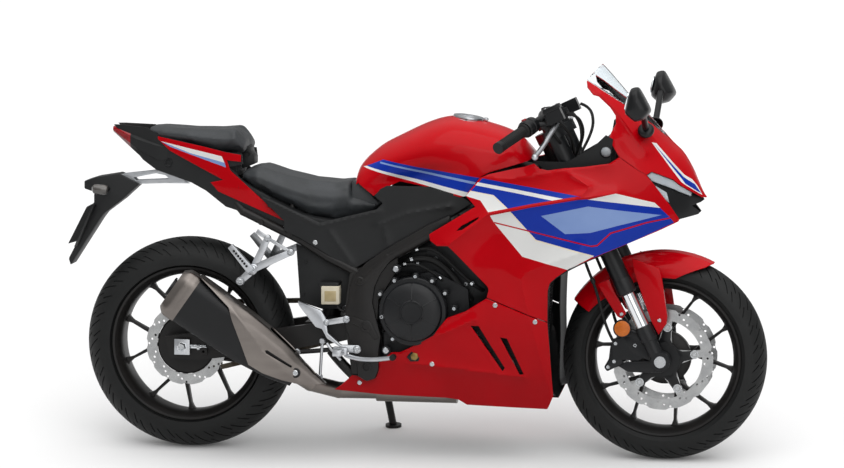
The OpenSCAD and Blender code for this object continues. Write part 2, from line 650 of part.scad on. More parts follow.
module rider_seat() color([0.1, 0.1, 0.1]) parked() difference() {
    body(rider_row_shares, seat_half, seat_section_shares, len(rider_row_shares) - 1);
    frame_posts(seat_post_shares, lug_r + seat_gap);
}
pillion_post_shares = [[-0.46, 0.755], [-0.46, 0.8]];
pillion_post_y = 50;
module pillion_posts(r) {
    both() rod(spot(pillion_post_shares[0], pillion_post_y), spot(pillion_post_shares[1], pillion_post_y), r);
}
module passenger_seat() color([0.1, 0.1, 0.1]) parked() difference() {
    body(passenger_row_shares, seat_half, seat_section_shares, len(passenger_row_shares) - 1);
    pillion_posts(lug_r + seat_gap);
}

// Tail: undertray and lamp cut from one loft, painted cowls at the sides, the plate holder behind.
tail_half = 130;
tail_section_shares = [[0, 0], [0.7, 0], [1, 0.35], [1, 0.8], [0.8, 1], [0, 1]];
tail_row_shares = [[-0.665, 0.81, 0.825, 0.26], [-0.61, 0.755, 0.805, 0.48], [-0.565, 0.72, 0.795, 0.585],
    [-0.46, 0.705, 0.77, 0.71], [-0.395, 0.705, 0.755, 0.69]];
tail_split_share = [-0.625, 0.785];
tail_cowl_low_share = [-0.565, 0.585];
tail_cowl_high_share = [-0.275, 0.81];
tail_cowl_half_shares = [[0.6, 0.63, 0.615], [0.8, 0.845, 0.77], [0.94, 0.985, 0.91], [1.015, 1.06, 0.985]];
tail_cowl_steps = [6, 5];
tail_cowl_shares = [[-0.56, 0.805], [-0.425, 0.77], [-0.405, 0.73], [-0.285, 0.6], [-0.42, 0.665],
    [-0.44, 0.685], [-0.555, 0.785]];
cowl_post_share = [-0.455, 0.74];
cowl_post_out = 104;
module tail_loft() {
    body(tail_row_shares, tail_half, tail_section_shares, len(tail_row_shares) - 1);
}
module undertray() color([0.1, 0.1, 0.11]) parked() {
    difference() {
        tail_loft();
        translate(spot(tail_split_share, 0)) translate([-far_out, -far_out / 2, -far_out / 2]) cube(far_out);
        frame_posts(tail_post_shares, lug_r + seat_gap);
    }
    pillion_posts(lug_r);
    both() rod(spot(cowl_post_share, core_half), spot(cowl_post_share, cowl_post_out), lug_r);
}
module tail_light() color([0.6, 0.04, 0.04]) parked() intersection() {
    tail_loft();
    translate(spot(tail_split_share, 0)) translate([-far_out - seat_gap, -far_out / 2, -far_out / 2])
        cube(far_out);
}
module tail_cowls() color([0.75, 0.05, 0.05]) parked() both() intersection() {
    sheet(tail_cowl_half_shares, tail_cowl_low_share, tail_cowl_high_share, tail_half, tail_cowl_steps);
    slab(flat(tail_cowl_shares), 0, far_out);
}
holder_shares = [[-0.56, 0.715], [-0.58, 0.735], [-0.73, 0.695], [-0.735, 0.68], [-0.665, 0.68],
    [-0.59, 0.685]];
holder_half = 18;
plate_half = 88;
plate_hole_r = 3.3;
plate_hole_half = 60;
plate_hole_share = 0.36;
plate_top_share = (plate_shares[0] + plate_shares[1]) / 2;
plate_low_share = (plate_shares[2] + plate_shares[3]) / 2;
plate_tilt = atan2((plate_top_share[0] - plate_low_share[0]) * wheelbase,
    (plate_top_share[1] - plate_low_share[1]) * height);
module plate_holder() color([0.13, 0.13, 0.14]) parked() difference() {
    union() {
        slab(flat(holder_shares), -holder_half, holder_half);
        slab(flat(plate_shares), -plate_half, plate_half);
    }
    both() translate(spot(plate_top_share + (plate_low_share - plate_top_share) * plate_hole_share,
        plate_hole_half))
        rotate([0, 90 + plate_tilt, 0]) translate([0, 0, -cut_over])
            cylinder(r = plate_hole_r, h = 2 * cut_over);
    tail_loft();
}
indicator_spot_share = [-0.685, 0.69];
indicator_in = 70;
indicator_out = 105;
indicator_r = 13;
stem_r = 6;
module rear_indicators() color([0.6, 0.55, 0.5]) parked() both() {
    rod(spot(indicator_spot_share, holder_half + seat_gap), spot(indicator_spot_share, indicator_in), stem_r);
    rod(spot(indicator_spot_share, indicator_in - weld), spot(indicator_spot_share, indicator_out),
        indicator_r);
}

// Side covers between the seat and the frame.
cover_in = 148;
cover_out = cover_in + panel_t;
cover_shares = [[-0.325, 0.64], [-0.215, 0.6], [-0.09, 0.625], [0.07, 0.655], [0.02, 0.61], [-0.065, 0.545],
    [-0.14, 0.525], [-0.235, 0.57]];
module side_covers() color([0.09, 0.09, 0.1]) parked() both() slab(flat(cover_shares), cover_in, cover_out);

// Nose: one lofted shell, cut along shared edges into the painted cowl, the clear screen and the lamp.
nose_half = 210;
nose_section_shares = [[0, 0], [1, 0], [0.98, 0.25], [0.82, 0.5], [0.66, 0.7], [0.54, 0.85],
    [0.33, 0.95], [0, 1]];
nose_row_shares = [[0.335, 0.6, 1.035, 1], [0.37, 0.6, 1, 0.975], [0.425, 0.6, 0.925, 0.905],
    [0.47, 0.6, 0.87, 0.81], [0.51, 0.6, 0.815, 0.655], [0.535, 0.6, 0.785, 0.5], [0.555, 0.6, 0.745, 0.345],
    [0.575, 0.6, 0.69, 0.145], [0.585, 0.6, 0.67, 0.04]];
nose_steps = 16;
roof_share = 1.3;
screen_edge_shares = [[0.36, 0.96], [0.51, 0.81]];
lamp_edge_shares = [[0.595, 0.66], [0.575, 0.675], [0.47, 0.735]];
chin_edge_shares = [[0.565, 0.63], [0.495, 0.67], [0.475, 0.685]];
cowl_shares = concat([[0.34, 0.965]], screen_edge_shares, [[0.595, 0.81]], lamp_edge_shares,
    [[0.415, 0.785], [0.405, 0.865], [0.375, 0.905]]);
screen_shares = concat(screen_edge_shares, [[0.525, 0.835], [0.375, 1.025]]);
lamp_shares = concat(lamp_edge_shares, [[0.465, 0.7]], [for (i = [2 : -1 : 0]) chin_edge_shares[i]],
    [[0.595, 0.625]]);
chin_shares = concat(chin_edge_shares, [[0.49, 0.64], [0.53, 0.615]]);
chin_half = 74;
lamp_peg_shares = [[0.45, 0.72], [0.48, 0.72]];
lamp_peg_y = 60;
lamp_cut_y = 112;
module lamp_pegs(r) {
    both() rod(spot(lamp_peg_shares[0], lamp_peg_y), spot(lamp_peg_shares[1], lamp_peg_y), r);
}
module nose_loft(inset, drop) {
    skin([for (k = [0 : nose_steps]) let (r = along(nose_row_shares, k / nose_steps))
        loop(r[0] * wheelbase - inset, r[1] * height - drop, r[2] * height - inset * roof_share,
            max(r[3] * nose_half - inset, weld), nose_section_shares)]);
}
module nose_shell() {
    difference() {
        nose_loft(0, 0);
        nose_loft(panel_t, cut_over);
    }
}
module nose_cowl() color([0.75, 0.05, 0.05]) parked() difference() {
    intersection() {
        nose_shell();
        slab(flat(cowl_shares), -far_out, far_out);
    }
    both() mirror_stalk(mirror_r + seat_gap);
}
module windscreen() color([0.8, 0.85, 0.9, 0.4]) parked() intersection() {
    nose_shell();
    translate([0, 0, edge_gap]) slab(flat(screen_shares), -far_out, far_out);
}
module headlight() color([0.3, 0.32, 0.35]) parked() difference() {
    intersection() {
        nose_loft(weld, 0);
        translate([0, 0, -edge_gap]) slab(flat(lamp_shares), -far_out, far_out);
    }
    lamp_pegs(lug_r + seat_gap);
    both() translate([edge_gap, 0, 0]) slab(flat(side_shares), lamp_cut_y, far_out);
}
module nose_chin() color([0.08, 0.08, 0.09]) parked()
    translate([0, 0, -2 * edge_gap]) slab(flat(chin_shares), -chin_half, chin_half);
instrument_shares = [[0.39, 0.8], [0.4, 0.87], [0.42, 0.865], [0.405, 0.795]];
instrument_half = 85;
instrument_post_shares = [[0.395, 0.725], [0.4, 0.82]];
module instrument_post(r) {
    rod(spot(instrument_post_shares[0], 0), spot(instrument_post_shares[1], 0), r);
}
module instrument() color([0.06, 0.06, 0.07]) parked() difference() {
    slab(flat(instrument_shares), -instrument_half, instrument_half);
    instrument_post(lug_r + seat_gap);
}

// Fairing: one table of half widths over the side view, cut into the side and belly panels.
fairing_low_share = [-0.185, 0.13];
fairing_high_share = [0.54, 0.79];
fairing_steps = [14, 11];
fairing_half_shares = [
    [0.47, 0.64, 0.71, 0.73, 0.73, 0.71, 0.65],
    [0.52, 0.71, 0.8, 0.82, 0.82, 0.8, 0.69],
    [0.56, 0.8, 0.91, 0.94, 0.93, 0.89, 0.73],
    [0.57, 0.83, 0.94, 0.97, 0.97, 0.95, 0.74],
    [0.52, 0.78, 0.91, 0.96, 0.98, 1, 0.78],
    [0.39, 0.58, 0.72, 0.83, 0.89, 0.9, 0.74],
    [0.13, 0.22, 0.31, 0.4, 0.47, 0.48, 0.39]];
side_shares = [[0.025, 0.575], [0.065, 0.555], [0.145, 0.45], [0.14, 0.44], [0.27, 0.37], [0.275, 0.45],
    [0.31, 0.5], [0.52, 0.61], [0.535, 0.625], [0.47, 0.735], [0.415, 0.78], [0.3, 0.75], [0.23, 0.77],
    [0.14, 0.735], [0.095, 0.675], [0.115, 0.645]];
belly_shares = [[-0.175, 0.175], [-0.14, 0.21], [-0.105, 0.2], [-0.08, 0.215], [-0.08, 0.255], [-0.055, 0.28],
    [-0.035, 0.28], [0.025, 0.315], [0.06, 0.365], [0.12, 0.405], [0.14, 0.44], [0.27, 0.37], [0.275, 0.26],
    [0.28, 0.165], [0.27, 0.14], [0.1, 0.145]];
vent_shares = [[[0.115, 0.35], [0.13, 0.35], [0.185, 0.235], [0.175, 0.23]],
    [[0.17, 0.32], [0.19, 0.32], [0.225, 0.225], [0.215, 0.225]]];
stand_room_shares = [[-0.285, 0.085], [-0.285, 0.285], [-0.08, 0.285], [-0.045, 0.085]];
function fairing_side(share) = fairing_half * over(fairing_half_shares,
    (share[0] - fairing_low_share[0]) / (fairing_high_share[0] - fairing_low_share[0]),
    (share[1] - fairing_low_share[1]) / (fairing_high_share[1] - fairing_low_share[1]));
module fairing_sheet() {
    sheet(fairing_half_shares, fairing_low_share, fairing_high_share, fairing_half, fairing_steps);
}
module fairing_post(share, from) {
    rod(spot(share, from + seat_gap), spot(share, fairing_side(share) - panel_t / 2), lug_r);
}
module side_fairings() color([0.75, 0.05, 0.05]) parked() both() {
    difference() {
        intersection() {
            fairing_sheet();
            slab(flat(side_shares), 0, far_out);
        }
        inner_post(stem_r + seat_gap, seat_gap);
    }
    fairing_post(fairing_lug_share, fairing_lug_out);
}
module belly_panel() {
    difference() {
        intersection() {
            fairing_sheet();
            slab(flat(belly_shares), 0, far_out);
        }
        translate([0, 0, -panel_gap]) slab(flat(side_shares), 0, far_out);
        for (v = vent_shares) slab(flat(v), 0, far_out);
    }
    fairing_post(belly_lug_share, belly_lug_out);
}
module belly_fairings() color([0.72, 0.05, 0.05]) parked() {
    right() belly_panel();
    difference() {
        belly_panel();
        slab(flat(stand_room_shares), 0, far_out);
    }
}
inner_shares = [[0.235, 0.765], [0.29, 0.72], [0.355, 0.725], [0.395, 0.77], [0.4, 0.825], [0.385, 0.835],
    [0.36, 0.805], [0.305, 0.765]];
inner_in = 146;
inner_out = inner_in + panel_t;
inner_post_share = [0.31, 0.735];
module inner_post(r, more) {
    rod(spot(inner_post_share, inner_in + weld),
        spot(inner_post_share, fairing_side(inner_post_share) - panel_t / 2 + more), r);
}
module inner_panels() color([0.08, 0.08, 0.09]) parked() both() {
    slab(flat(inner_shares), inner_in, inner_out);
    inner_post(stem_r, 0);
}

// Mirrors on stalks from the nose.
mirror_base_share = [0.465, 0.83];
mirror_base_y = 80;
mirror_neck_y = 262;
mirror_out = 381;
mirror_r = 9;
mirror_row_shares = [[0, 0.5, 0.55], [0.3, 0.95, 0.95], [0.65, 1, 1], [1, 0.6, 0.6]];
mirror_section_shares = [[0.5, 0], [0.35, 0.4], [0, 0.5], [-0.4, 0.42], [-0.5, 0], [-0.4, -0.42], [0, -0.5],
    [0.35, -0.4]];
mirror_thick = 60;
mirror_high = 96;
module mirror_stalk(r) {
    rod(spot(mirror_base_share, mirror_base_y), spot(mirror_tip_share, mirror_neck_y + mirror_r), r);
}
module mirrors() color([0.07, 0.07, 0.08]) parked() both() {
    mirror_stalk(mirror_r);
    translate(spot(mirror_tip_share, mirror_neck_y)) rotate([0, 0, 90])
        skin([for (r = mirror_row_shares) [for (p = mirror_section_shares)
            [r[0] * (mirror_out - mirror_neck_y), p[0] * r[1] * mirror_thick, p[1] * r[2] * mirror_high]]]);
}

// Footrests, pedals and the passenger's pegs.
rest_in = plate_out + seat_gap;
rest_t = 12;
rest_shares = [[-0.1, 0.35], [-0.12, 0.27], [-0.145, 0.27], [-0.17, 0.29], [-0.245, 0.38], [-0.255, 0.405],
    [-0.24, 0.415], [-0.165, 0.35], [-0.14, 0.385], [-0.11, 0.385]];
peg_spot_share = [-0.15, 0.28];
peg_r = 11;
peg_out = 255;
pedal_shares = [[-0.135, 0.28, 0.74], [-0.06, 0.26, 0.85], [-0.03, 0.265, 0.88]];
pedal_r = 6;
pedal_half = 240;
module footrests() color([0.62, 0.63, 0.65]) parked() both() {
    pedal = path(pedal_shares, pedal_half);
    slab(flat(rest_shares), rest_in, rest_in + rest_t);
    rod(spot(peg_spot_share, rest_in), spot(peg_spot_share, peg_out), peg_r);
    pipe(pedal, pedal_r);
    rod(pedal[2] - [0, pedal_r, 0], spot(pedal_shares[2], pedal_half), pedal_r + weld);
    rod(spot(pedal_shares[0], rest_in + rest_t - pedal_r), pedal[0] + [0, pedal_r, 0], pedal_r + weld);
}
hanger_in = 146;
hanger_t = 12;
hanger_shares = [[-0.345, 0.6], [-0.26, 0.575], [-0.265, 0.555], [-0.335, 0.565], [-0.355, 0.45],
    [-0.375, 0.45],
    [-0.37, 0.485]];
folded_shares = [[-0.365, 0.46, 0.92], [-0.39, 0.54, 1]];
folded_half = 178;
module passenger_pegs() color([0.6, 0.61, 0.63]) parked() both() {
    folded = path(folded_shares, folded_half);
    slab(flat(hanger_shares), hanger_in, hanger_in + hanger_t);
    rod(folded[0], folded[1], peg_r);
    rod(spot(folded_shares[0], hanger_in), folded[0] + [0, peg_r, 0], peg_r + weld);
}

// Rear brake: the caliper on a lug over the swingarm, the fluid pot by the pivot plate.
caliper_spot_share = [0.19, 1.48];
caliper_lug_shares = [[0.11, 0.3], [0.11, 1.55], [0.22, 1.55], [0.22, 0.3]];
caliper_long = 84;
caliper_high = 46;
caliper_out = 108;
caliper_in = 64;
caliper_slot = 8;
module rear_caliper() color([0.5, 0.42, 0.25]) parked() on_arm() difference() {
    union() {
        translate(arm_spot(caliper_spot_share) - [caliper_long / 2, caliper_out, caliper_high / 2])
            cube([caliper_long, caliper_out - caliper_in, caliper_high]);
        slab(arm_flat(caliper_lug_shares), -arm_out, weld - caliper_out);
    }
    translate([0, 0, seat_gap]) slab(arm_flat(arm_shares), -arm_out - cut_over, -caliper_in);
    translate(arm_spot(caliper_spot_share)
        - [caliper_long, rear_disc_y + caliper_slot, caliper_high + cut_over])
        cube([2 * caliper_long, 2 * caliper_slot, caliper_high + caliper_high / 2 + cut_over - lip_t]);
}
reservoir_spot_share = [-0.19, 0.41];
reservoir_y = -150;
reservoir_r = 17;
reservoir_high = 46;
module rear_reservoir() color([0.85, 0.82, 0.72]) parked() {
    translate(spot(reservoir_spot_share, reservoir_y) - [0, 0, reservoir_high / 2])
        cylinder(r = reservoir_r, h = reservoir_high);
    difference() {
        rod(spot(reservoir_spot_share, reservoir_y), spot(reservoir_lug_share, reservoir_y), lug_r);
        translate([-seat_gap, 0, 0]) slab(flat(pivot_plate_shares), -far_out, 0);
    }
}

// Fork, clamps and bars. Places on the fork are shares of the height, forward of its axis and up along it.
fork_off = axle_u - lip_t + weld;
fork_top_share = 0.96;
sleeve_low_share = 0.475;
foot_high_share = 0.37;
clamp_low_share = 0.735;
clamp_high_share = 0.895;
clip_low_share = 0.93;
fork_top = fork_top_share * height;
sleeve_low = sleeve_low_share * height;
foot_high = foot_high_share * height;
clamp_low = clamp_low_share * height;
clamp_high = clamp_high_share * height;
clip_low = clip_low_share * height;
foot_r = 22;
stem_core_r = 17;
clamp_t = 30;
clamp_back = 34;
clamp_r = 37;
stem_bore_r = 9;
stem_bore_deep = 25;
flange_high = 10;
function fork_spot(share, y) = [share[0] * height, y, share[1] * height];
module leg_places() {
    on_fork() for (side = [-1, 1]) translate([fork_off, side * fork_half, 0]) children();
}
module fork_uppers() color([0.07, 0.07, 0.08]) parked() leg_places() difference() {
    translate([0, 0, sleeve_low]) cylinder(r = outer_r, h = fork_top - sleeve_low);
    translate([0, 0, sleeve_low - cut_over])
        cylinder(r = inner_r + seat_gap, h = fork_top - sleeve_low - cut_over);
}
module fork_stanchions() color([0.8, 0.8, 0.82]) parked() leg_places()
    translate([0, 0, foot_high - foot_r]) cylinder(r = inner_r, h = clamp_low - foot_high);
caliper_arm_shares = [[-0.95, 0], [-0.98, 0.34], [-0.44, 0.62], [-0.1, 0.2], [-0.44, 0]];
caliper_arm_in = 86;
caliper_arm_out = 98;
module fork_feet() color([0.1, 0.1, 0.11]) parked() difference() {
    union() {
        leg_places() translate([0, 0, axle_s - foot_r]) cylinder(r = foot_r, h = foot_high - axle_s + foot_r);
        at_front_axle() both() barrel(fork_half - foot_r, fork_half + foot_r, foot_r + lip_t);
        at_front_axle() both() slab(caliper_arm_shares * front_disc_r, caliper_arm_in, caliper_arm_out);
    }
    leg_places() translate([0, 0, foot_high - foot_r - seat_gap])
        cylinder(r = inner_r + seat_gap, h = far_out);
    at_front_axle() barrel(-far_out, far_out, axle_r + seat_gap);
}
module clamp_plate() {
    difference() {
        union() {
            for (side = [-1, 1]) translate([fork_off, side * fork_half, 0])
                cylinder(r = clamp_r, h = clamp_t);
            linear_extrude(clamp_t) polygon([[-clamp_back, -clamp_back], [-clamp_back, clamp_back],
                [0, fork_half],
                [fork_off, fork_half], [fork_off, -fork_half], [0, -fork_half]]);
        }
        for (side = [-1, 1]) translate([fork_off, side * fork_half, -cut_over])
            cylinder(r = outer_r + seat_gap, h = clamp_t + 2 * cut_over);
    }
}
module triple_clamps() color([0.16, 0.16, 0.17]) parked() on_fork() difference() {
    union() {
        for (s = [clamp_low, clamp_high]) translate([0, 0, s]) clamp_plate();
        translate([0, 0, clamp_low]) cylinder(r = stem_core_r, h = clamp_high - clamp_low + clamp_t);
        for (s = [head_low + flange_high, head_high - 2 * flange_high]) translate([0, 0, s])
            cylinder(r = head_bore_r - seat_gap, h = flange_high);
    }
    translate([0, 0, clamp_high + clamp_t - stem_bore_deep]) cylinder(r = stem_bore_r, h = far_out);
}
bar_grip_share = [-0.02, 0.95];
bar_grip_y = 230;
bar_tip_share = [-0.075, 0.94];
bar_root_share = 0.95;
bar_r = 11;
grip_r = 16;
grip_end_share = 0.99;
weight_t = 16;
weight_r = 17;
clip_r = 36;
clip_t = 28;
switch_from_share = 0.36;
switch_to_share = 0.02;
switch_r = 22;
lever_shares = [[0.055, 0.93, 0.5], [0.03, 0.91, 0.67], [-0.01, 0.88, 0.96]];
lever_r = 6;
master_long = 46;
master_wide = 34;
master_high = 38;
master_spot_share = [0.06, 0.95];
master_y = 182;
grip_from = fork_spot(bar_grip_share, bar_grip_y);
grip_to = fork_spot(bar_tip_share, bar_half);
grip_line = grip_to - grip_from;
lever_line = [for (s = lever_shares) fork_spot(s, s[2] * bar_half)];
module handlebars() color([0.08, 0.08, 0.09]) parked() {
    leg_places() translate([0, 0, clip_low]) difference() {
        cylinder(r = clip_r, h = clip_t);
        translate([0, 0, -cut_over]) cylinder(r = outer_r + seat_gap, h = far_out);
    }
    on_fork() both() {
        switch_end = grip_from - grip_line * switch_from_share;
        difference() {
            rod(grip_from - grip_line * bar_root_share, grip_to, bar_r);
            translate([fork_off, fork_half, clip_low - cut_over])
                cylinder(r = outer_r + seat_gap, h = far_out);
        }
        rod(switch_end, grip_from - grip_line * switch_to_share, switch_r);
        rod(grip_to, grip_to + grip_line * weight_t / norm(grip_line), weight_r);
        pipe(lever_line, lever_r);
        rod(lever_line[0], switch_end, lever_r + weld);
        translate(fork_spot(master_spot_share, master_y) - [master_long, master_wide, master_high] / 2)
            cube([master_long, master_wide, master_high]);
    }
}
module grips() color([0.09, 0.09, 0.09]) parked() on_fork() both() difference() {
    rod(grip_from, grip_from + grip_line * grip_end_share, grip_r);
    rod(grip_from - grip_line, grip_to + grip_line, bar_r + seat_gap);
}

// Front brake, mudguard, axle.
guard_room = 12;
guard_t = 3.5;
guard_from = 62;
guard_to = 150;
guard_side = 50;
guard_tab_shares = [[-0.385, 0.87], [-0.385, 0.73], [-0.485, 0.77], [-0.485, 0.88]];
module front_mudguard() color([0.75, 0.05, 0.05]) parked() {
    at_front_axle() rotate([90, 0, 0]) rotate(guard_from) rotate_extrude(angle = guard_to - guard_from)
        intersection() {
            difference() {
                translate([front_r - front_w / 2, 0]) circle(front_w / 2 + guard_room + guard_t);
                translate([front_r - front_w / 2, 0]) circle(front_w / 2 + guard_room);
            }
            translate([front_r - guard_side, -front_w]) square([2 * front_w, 2 * front_w]);
        }
    both() difference() {
        at_front_axle() slab(guard_tab_shares * front_r, front_w / 2 + guard_room - weld,
            fork_half - outer_r + tube_r);
        leg_places() cylinder(r = outer_r + seat_gap, h = 2 * far_out);
    }
}
front_caliper_from = 150;
front_caliper_arc = 40;
front_caliper_wide = 44;
front_caliper_slot = 14.5;
module front_calipers() color([0.45, 0.38, 0.22]) parked() at_front_axle() both()
    translate([0, front_disc_y, 0]) rotate([90, 0, 0]) rotate(front_caliper_from)
        rotate_extrude(angle = front_caliper_arc) difference() {
            translate([front_ring_in - lip_t / 2, front_disc_y + seat_gap - caliper_arm_in])
                square([front_disc_r - front_ring_in + 3 * lip_t, front_caliper_wide]);
            translate([0, -front_caliper_slot / 2]) square([front_disc_r + lip_t, front_caliper_slot]);
        }
module front_axle() color([0.72, 0.72, 0.74]) parked() at_front_axle() {
    barrel(-fork_half - foot_r - lip_t, fork_half + foot_r + lip_t, axle_r);
    both() barrel(fork_half + foot_r + seat_gap, fork_half + foot_r + lip_t, nut_r);
}

// Side stand: its pivot on the left pivot plate, its foot flat on the leaning bike's floor.
stand_turn = 14;
stand_boss = 8;
stand_pivot_r = 16;
stand_hub = 30;
stand_leg_share = 0.6;
stand_foot_share = -0.1;
stand_foot_y = 262;
stand_leg_r = 11;
stand_pad_r = 24;
stand_pad_t = 8;
stand_out = [-sin(stand_turn), cos(stand_turn), 0];
stand_root = spot(stand_lug_share, plate_out + stand_boss);
floor_z = stand_foot_y * tan(lean) - stance_lift / cos(lean);
module side_stand() color([0.12, 0.12, 0.13]) parked() {
    foot = [stand_foot_share * wheelbase, stand_foot_y, floor_z];
    rod(stand_root + stand_out * cap_room, stand_root + stand_out * stand_hub, stand_pivot_r);
    difference() {
        rod(stand_root + stand_out * stand_hub * stand_leg_share, foot, stand_leg_r);
        translate(foot) rotate([lean, 0, 0]) translate([-far_out / 2, -far_out / 2, -far_out]) cube(far_out);
    }
    translate(foot) rotate([lean, 0, 0]) cylinder(r = stand_pad_r, h = stand_pad_t);
}

frame();
swingarm();
engine();
engine_covers();
exhaust();
muffler();
muffler_shield();
radiator();
fuel_tank();
rider_seat();
passenger_seat();
tail_cowls();
undertray();
tail_light();
plate_holder();
rear_indicators();
side_covers();
nose_cowl();
windscreen();
headlight();
nose_chin();
side_fairings();
belly_fairings();
inner_panels();
instrument();
mirrors();
footrests();
passenger_pegs();
rear_caliper();
rear_reservoir();
rear_shock();
chain();
rear_axle();
fork_uppers();
fork_stanchions();
fork_feet();
triple_clamps();
handlebars();
grips();
front_mudguard();
front_calipers();
front_axle();
front_tyre();
front_wheel();
front_discs();
rear_tyre();
rear_wheel();
rear_disc();
rear_sprocket();
fuel_cap();
side_stand();
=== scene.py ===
# %% [markdown]
# # A sport bike on its side stand
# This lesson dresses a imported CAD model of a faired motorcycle. The CAD gives every piece its place and its
# motion. Blender adds what the eye looks for: curved and painted bodywork, soft seats, treaded tyres,
# bolts, lamps and finishes.

# %% Load the CAD frame
import math
import bpy
import bmesh
from mathutils import Matrix, Vector
from mathutils.bvhtree import BVHTree


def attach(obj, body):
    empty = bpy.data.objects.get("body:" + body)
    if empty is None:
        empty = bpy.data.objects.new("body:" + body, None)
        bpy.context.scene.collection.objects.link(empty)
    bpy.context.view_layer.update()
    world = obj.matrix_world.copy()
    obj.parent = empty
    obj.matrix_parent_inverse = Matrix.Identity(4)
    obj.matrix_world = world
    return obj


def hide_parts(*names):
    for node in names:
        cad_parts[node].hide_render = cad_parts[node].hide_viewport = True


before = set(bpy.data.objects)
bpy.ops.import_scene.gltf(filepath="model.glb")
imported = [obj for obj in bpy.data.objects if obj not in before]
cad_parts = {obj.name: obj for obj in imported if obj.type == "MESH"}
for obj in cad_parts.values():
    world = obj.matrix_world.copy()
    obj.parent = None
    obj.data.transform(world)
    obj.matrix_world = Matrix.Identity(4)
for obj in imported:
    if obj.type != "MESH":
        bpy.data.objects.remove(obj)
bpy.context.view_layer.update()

# %% [markdown]
# ## One frame for every piece
# Pieces are modelled upright in the bike's own frame, in millimetres: x forward, y left, z up, with the
# origin on the floor half way between the axles. One matrix then leans the piece onto the side stand and
# turns it into metres. Modelling in the leaned frame would work too, but then the bike's middle plane would
# not be y = 0, and every mirrored pair would need a tilted mirror.

# %% The parked matrix
MM = 0.001
WHEELBASE = 1410
HEIGHT = 1150
LEAN = math.radians(7.5)
MIDDLE = Vector((-33.3, 0.925 * HEIGHT * math.sin(LEAN), -80 * (1 - math.cos(LEAN))))
STAND_UP = Matrix.Translation(-MIDDLE * MM) @ Matrix.Rotation(-LEAN, 4, "X")
PARKED = STAND_UP @ Matrix.Scale(MM, 4)
print("the bike's origin is parked at", PARKED.translation)

# %% [markdown]
# ## The camera
# The camera was solved from places that can be measured in the photograph, such as the two axles and the
# bars. Its values are in the bike's own frame, so it leans with the bike and the picture stays the same. A
# long lens far away keeps the wheels round, as in a catalogue picture.

# %% Camera
PHOTO = Vector((844, 468))
AZIMUTH, ELEVATION, ROLL = (math.radians(angle) for angle in (8.90, 5.99, 0.33))
FAR = 15628.7
FOCAL = 0.340 * FAR
AIM = Vector((-16.9, 0, 645.14))
SENSOR = 36
CLIP_END = 800
back = Vector((math.sin(AZIMUTH) * math.cos(ELEVATION), -math.cos(AZIMUTH) * math.cos(ELEVATION),
               math.sin(ELEVATION)))
level = Vector((math.cos(AZIMUTH), math.sin(AZIMUTH), 0))
RIGHT = level * math.cos(ROLL) + back.cross(level) * math.sin(ROLL)
UP = back.cross(RIGHT)
EYE = AIM + back * FAR
camera = bpy.data.objects.new("camera", bpy.data.cameras.new("camera"))
bpy.context.scene.collection.objects.link(camera)
bpy.context.scene.camera = camera
camera.data.sensor_width = SENSOR
camera.data.lens = FOCAL * SENSOR / PHOTO.x
camera.data.clip_end = CLIP_END
turned = Matrix((RIGHT, UP, back)).transposed().to_4x4()
camera.matrix_world = STAND_UP @ Matrix.Translation(EYE * MM) @ turned


def ray(pixel):
    """The direction from the eye through a pixel of the photograph, in the bike's frame."""
    return RIGHT * (pixel[0] - PHOTO.x / 2) - UP * (pixel[1] - PHOTO.y / 2) - back * FOCAL


def seen(pixel, y):
    """The (x, z) place behind a pixel, at a given sideways place."""
    way = ray(pixel)
    spot = EYE + way * ((y - EYE.y) / way.y)
    return spot.x, spot.z


def all_seen(pixels, y):
    """The (x, z) places behind some pixels, at a given sideways place."""
    return [seen(pixel, y) for pixel in pixels]


print("front axle pixel looks at", seen((659, 362), 0))

# %% [markdown]
# ## Light and floor
# A catalogue picture has one wide light above and weak fill from the sides, so that the top faces glow and
# the belly goes dark. A dome that is bright overhead and dimmer at the horizon does most of this. Two suns
# with a wide disc stand for the softboxes: unlike lamps close by, they light the whole floor evenly. The
# floor adds a little of its own brightness where it is seen, directly or in a reflection, and keeps the
# contact shadows; the light that it throws back up is that of grey paper, so that the belly stays dark.


# %% World, lamps and floor
def linear(code):
    """A written sRGB colour such as 'c8102e' as linear red, green, blue, alpha."""
    parts = [int(code[i:i + 2], 16) / 255 for i in (0, 2, 4)]
    return tuple(c / 12.92 if c <= 0.04045 else ((c + 0.055) / 1.055) ** 2.4 for c in parts) + (1,)


def node(tree, kind, sockets=None, **settings):
    """Adds a node with its settings; a socket's value is a number, a colour or another node's output."""
    made = tree.nodes.new(kind)
    for name, value in settings.items():
        setattr(made, name, value)
    for name, value in (sockets or {}).items():
        if isinstance(value, bpy.types.NodeSocket):
            tree.links.new(value, made.inputs[name])
        else:
            made.inputs[name].default_value = value
    return made


HORIZON_LIGHT, ZENITH_LIGHT = 0.2, 1.0
world = bpy.data.worlds.new("studio")
bpy.context.scene.world = world
world.use_nodes = True
sky = world.node_tree
sky.nodes.clear()
way_up = node(sky, "ShaderNodeTexCoord")
way_up = node(sky, "ShaderNodeSeparateXYZ", {"Vector": way_up.outputs["Generated"]})
glow = node(sky, "ShaderNodeMapRange", {"Value": way_up.outputs["Z"], "From Min": 0.05, "From Max": 0.9,
                                        "To Min": HORIZON_LIGHT, "To Max": ZENITH_LIGHT},
            interpolation_type="SMOOTHSTEP")
dome = node(sky, "ShaderNodeBackground", {"Color": linear("fbfbfb"), "Strength": glow.outputs[0]})
node(sky, "ShaderNodeOutputWorld", {"Surface": dome.outputs[0]})

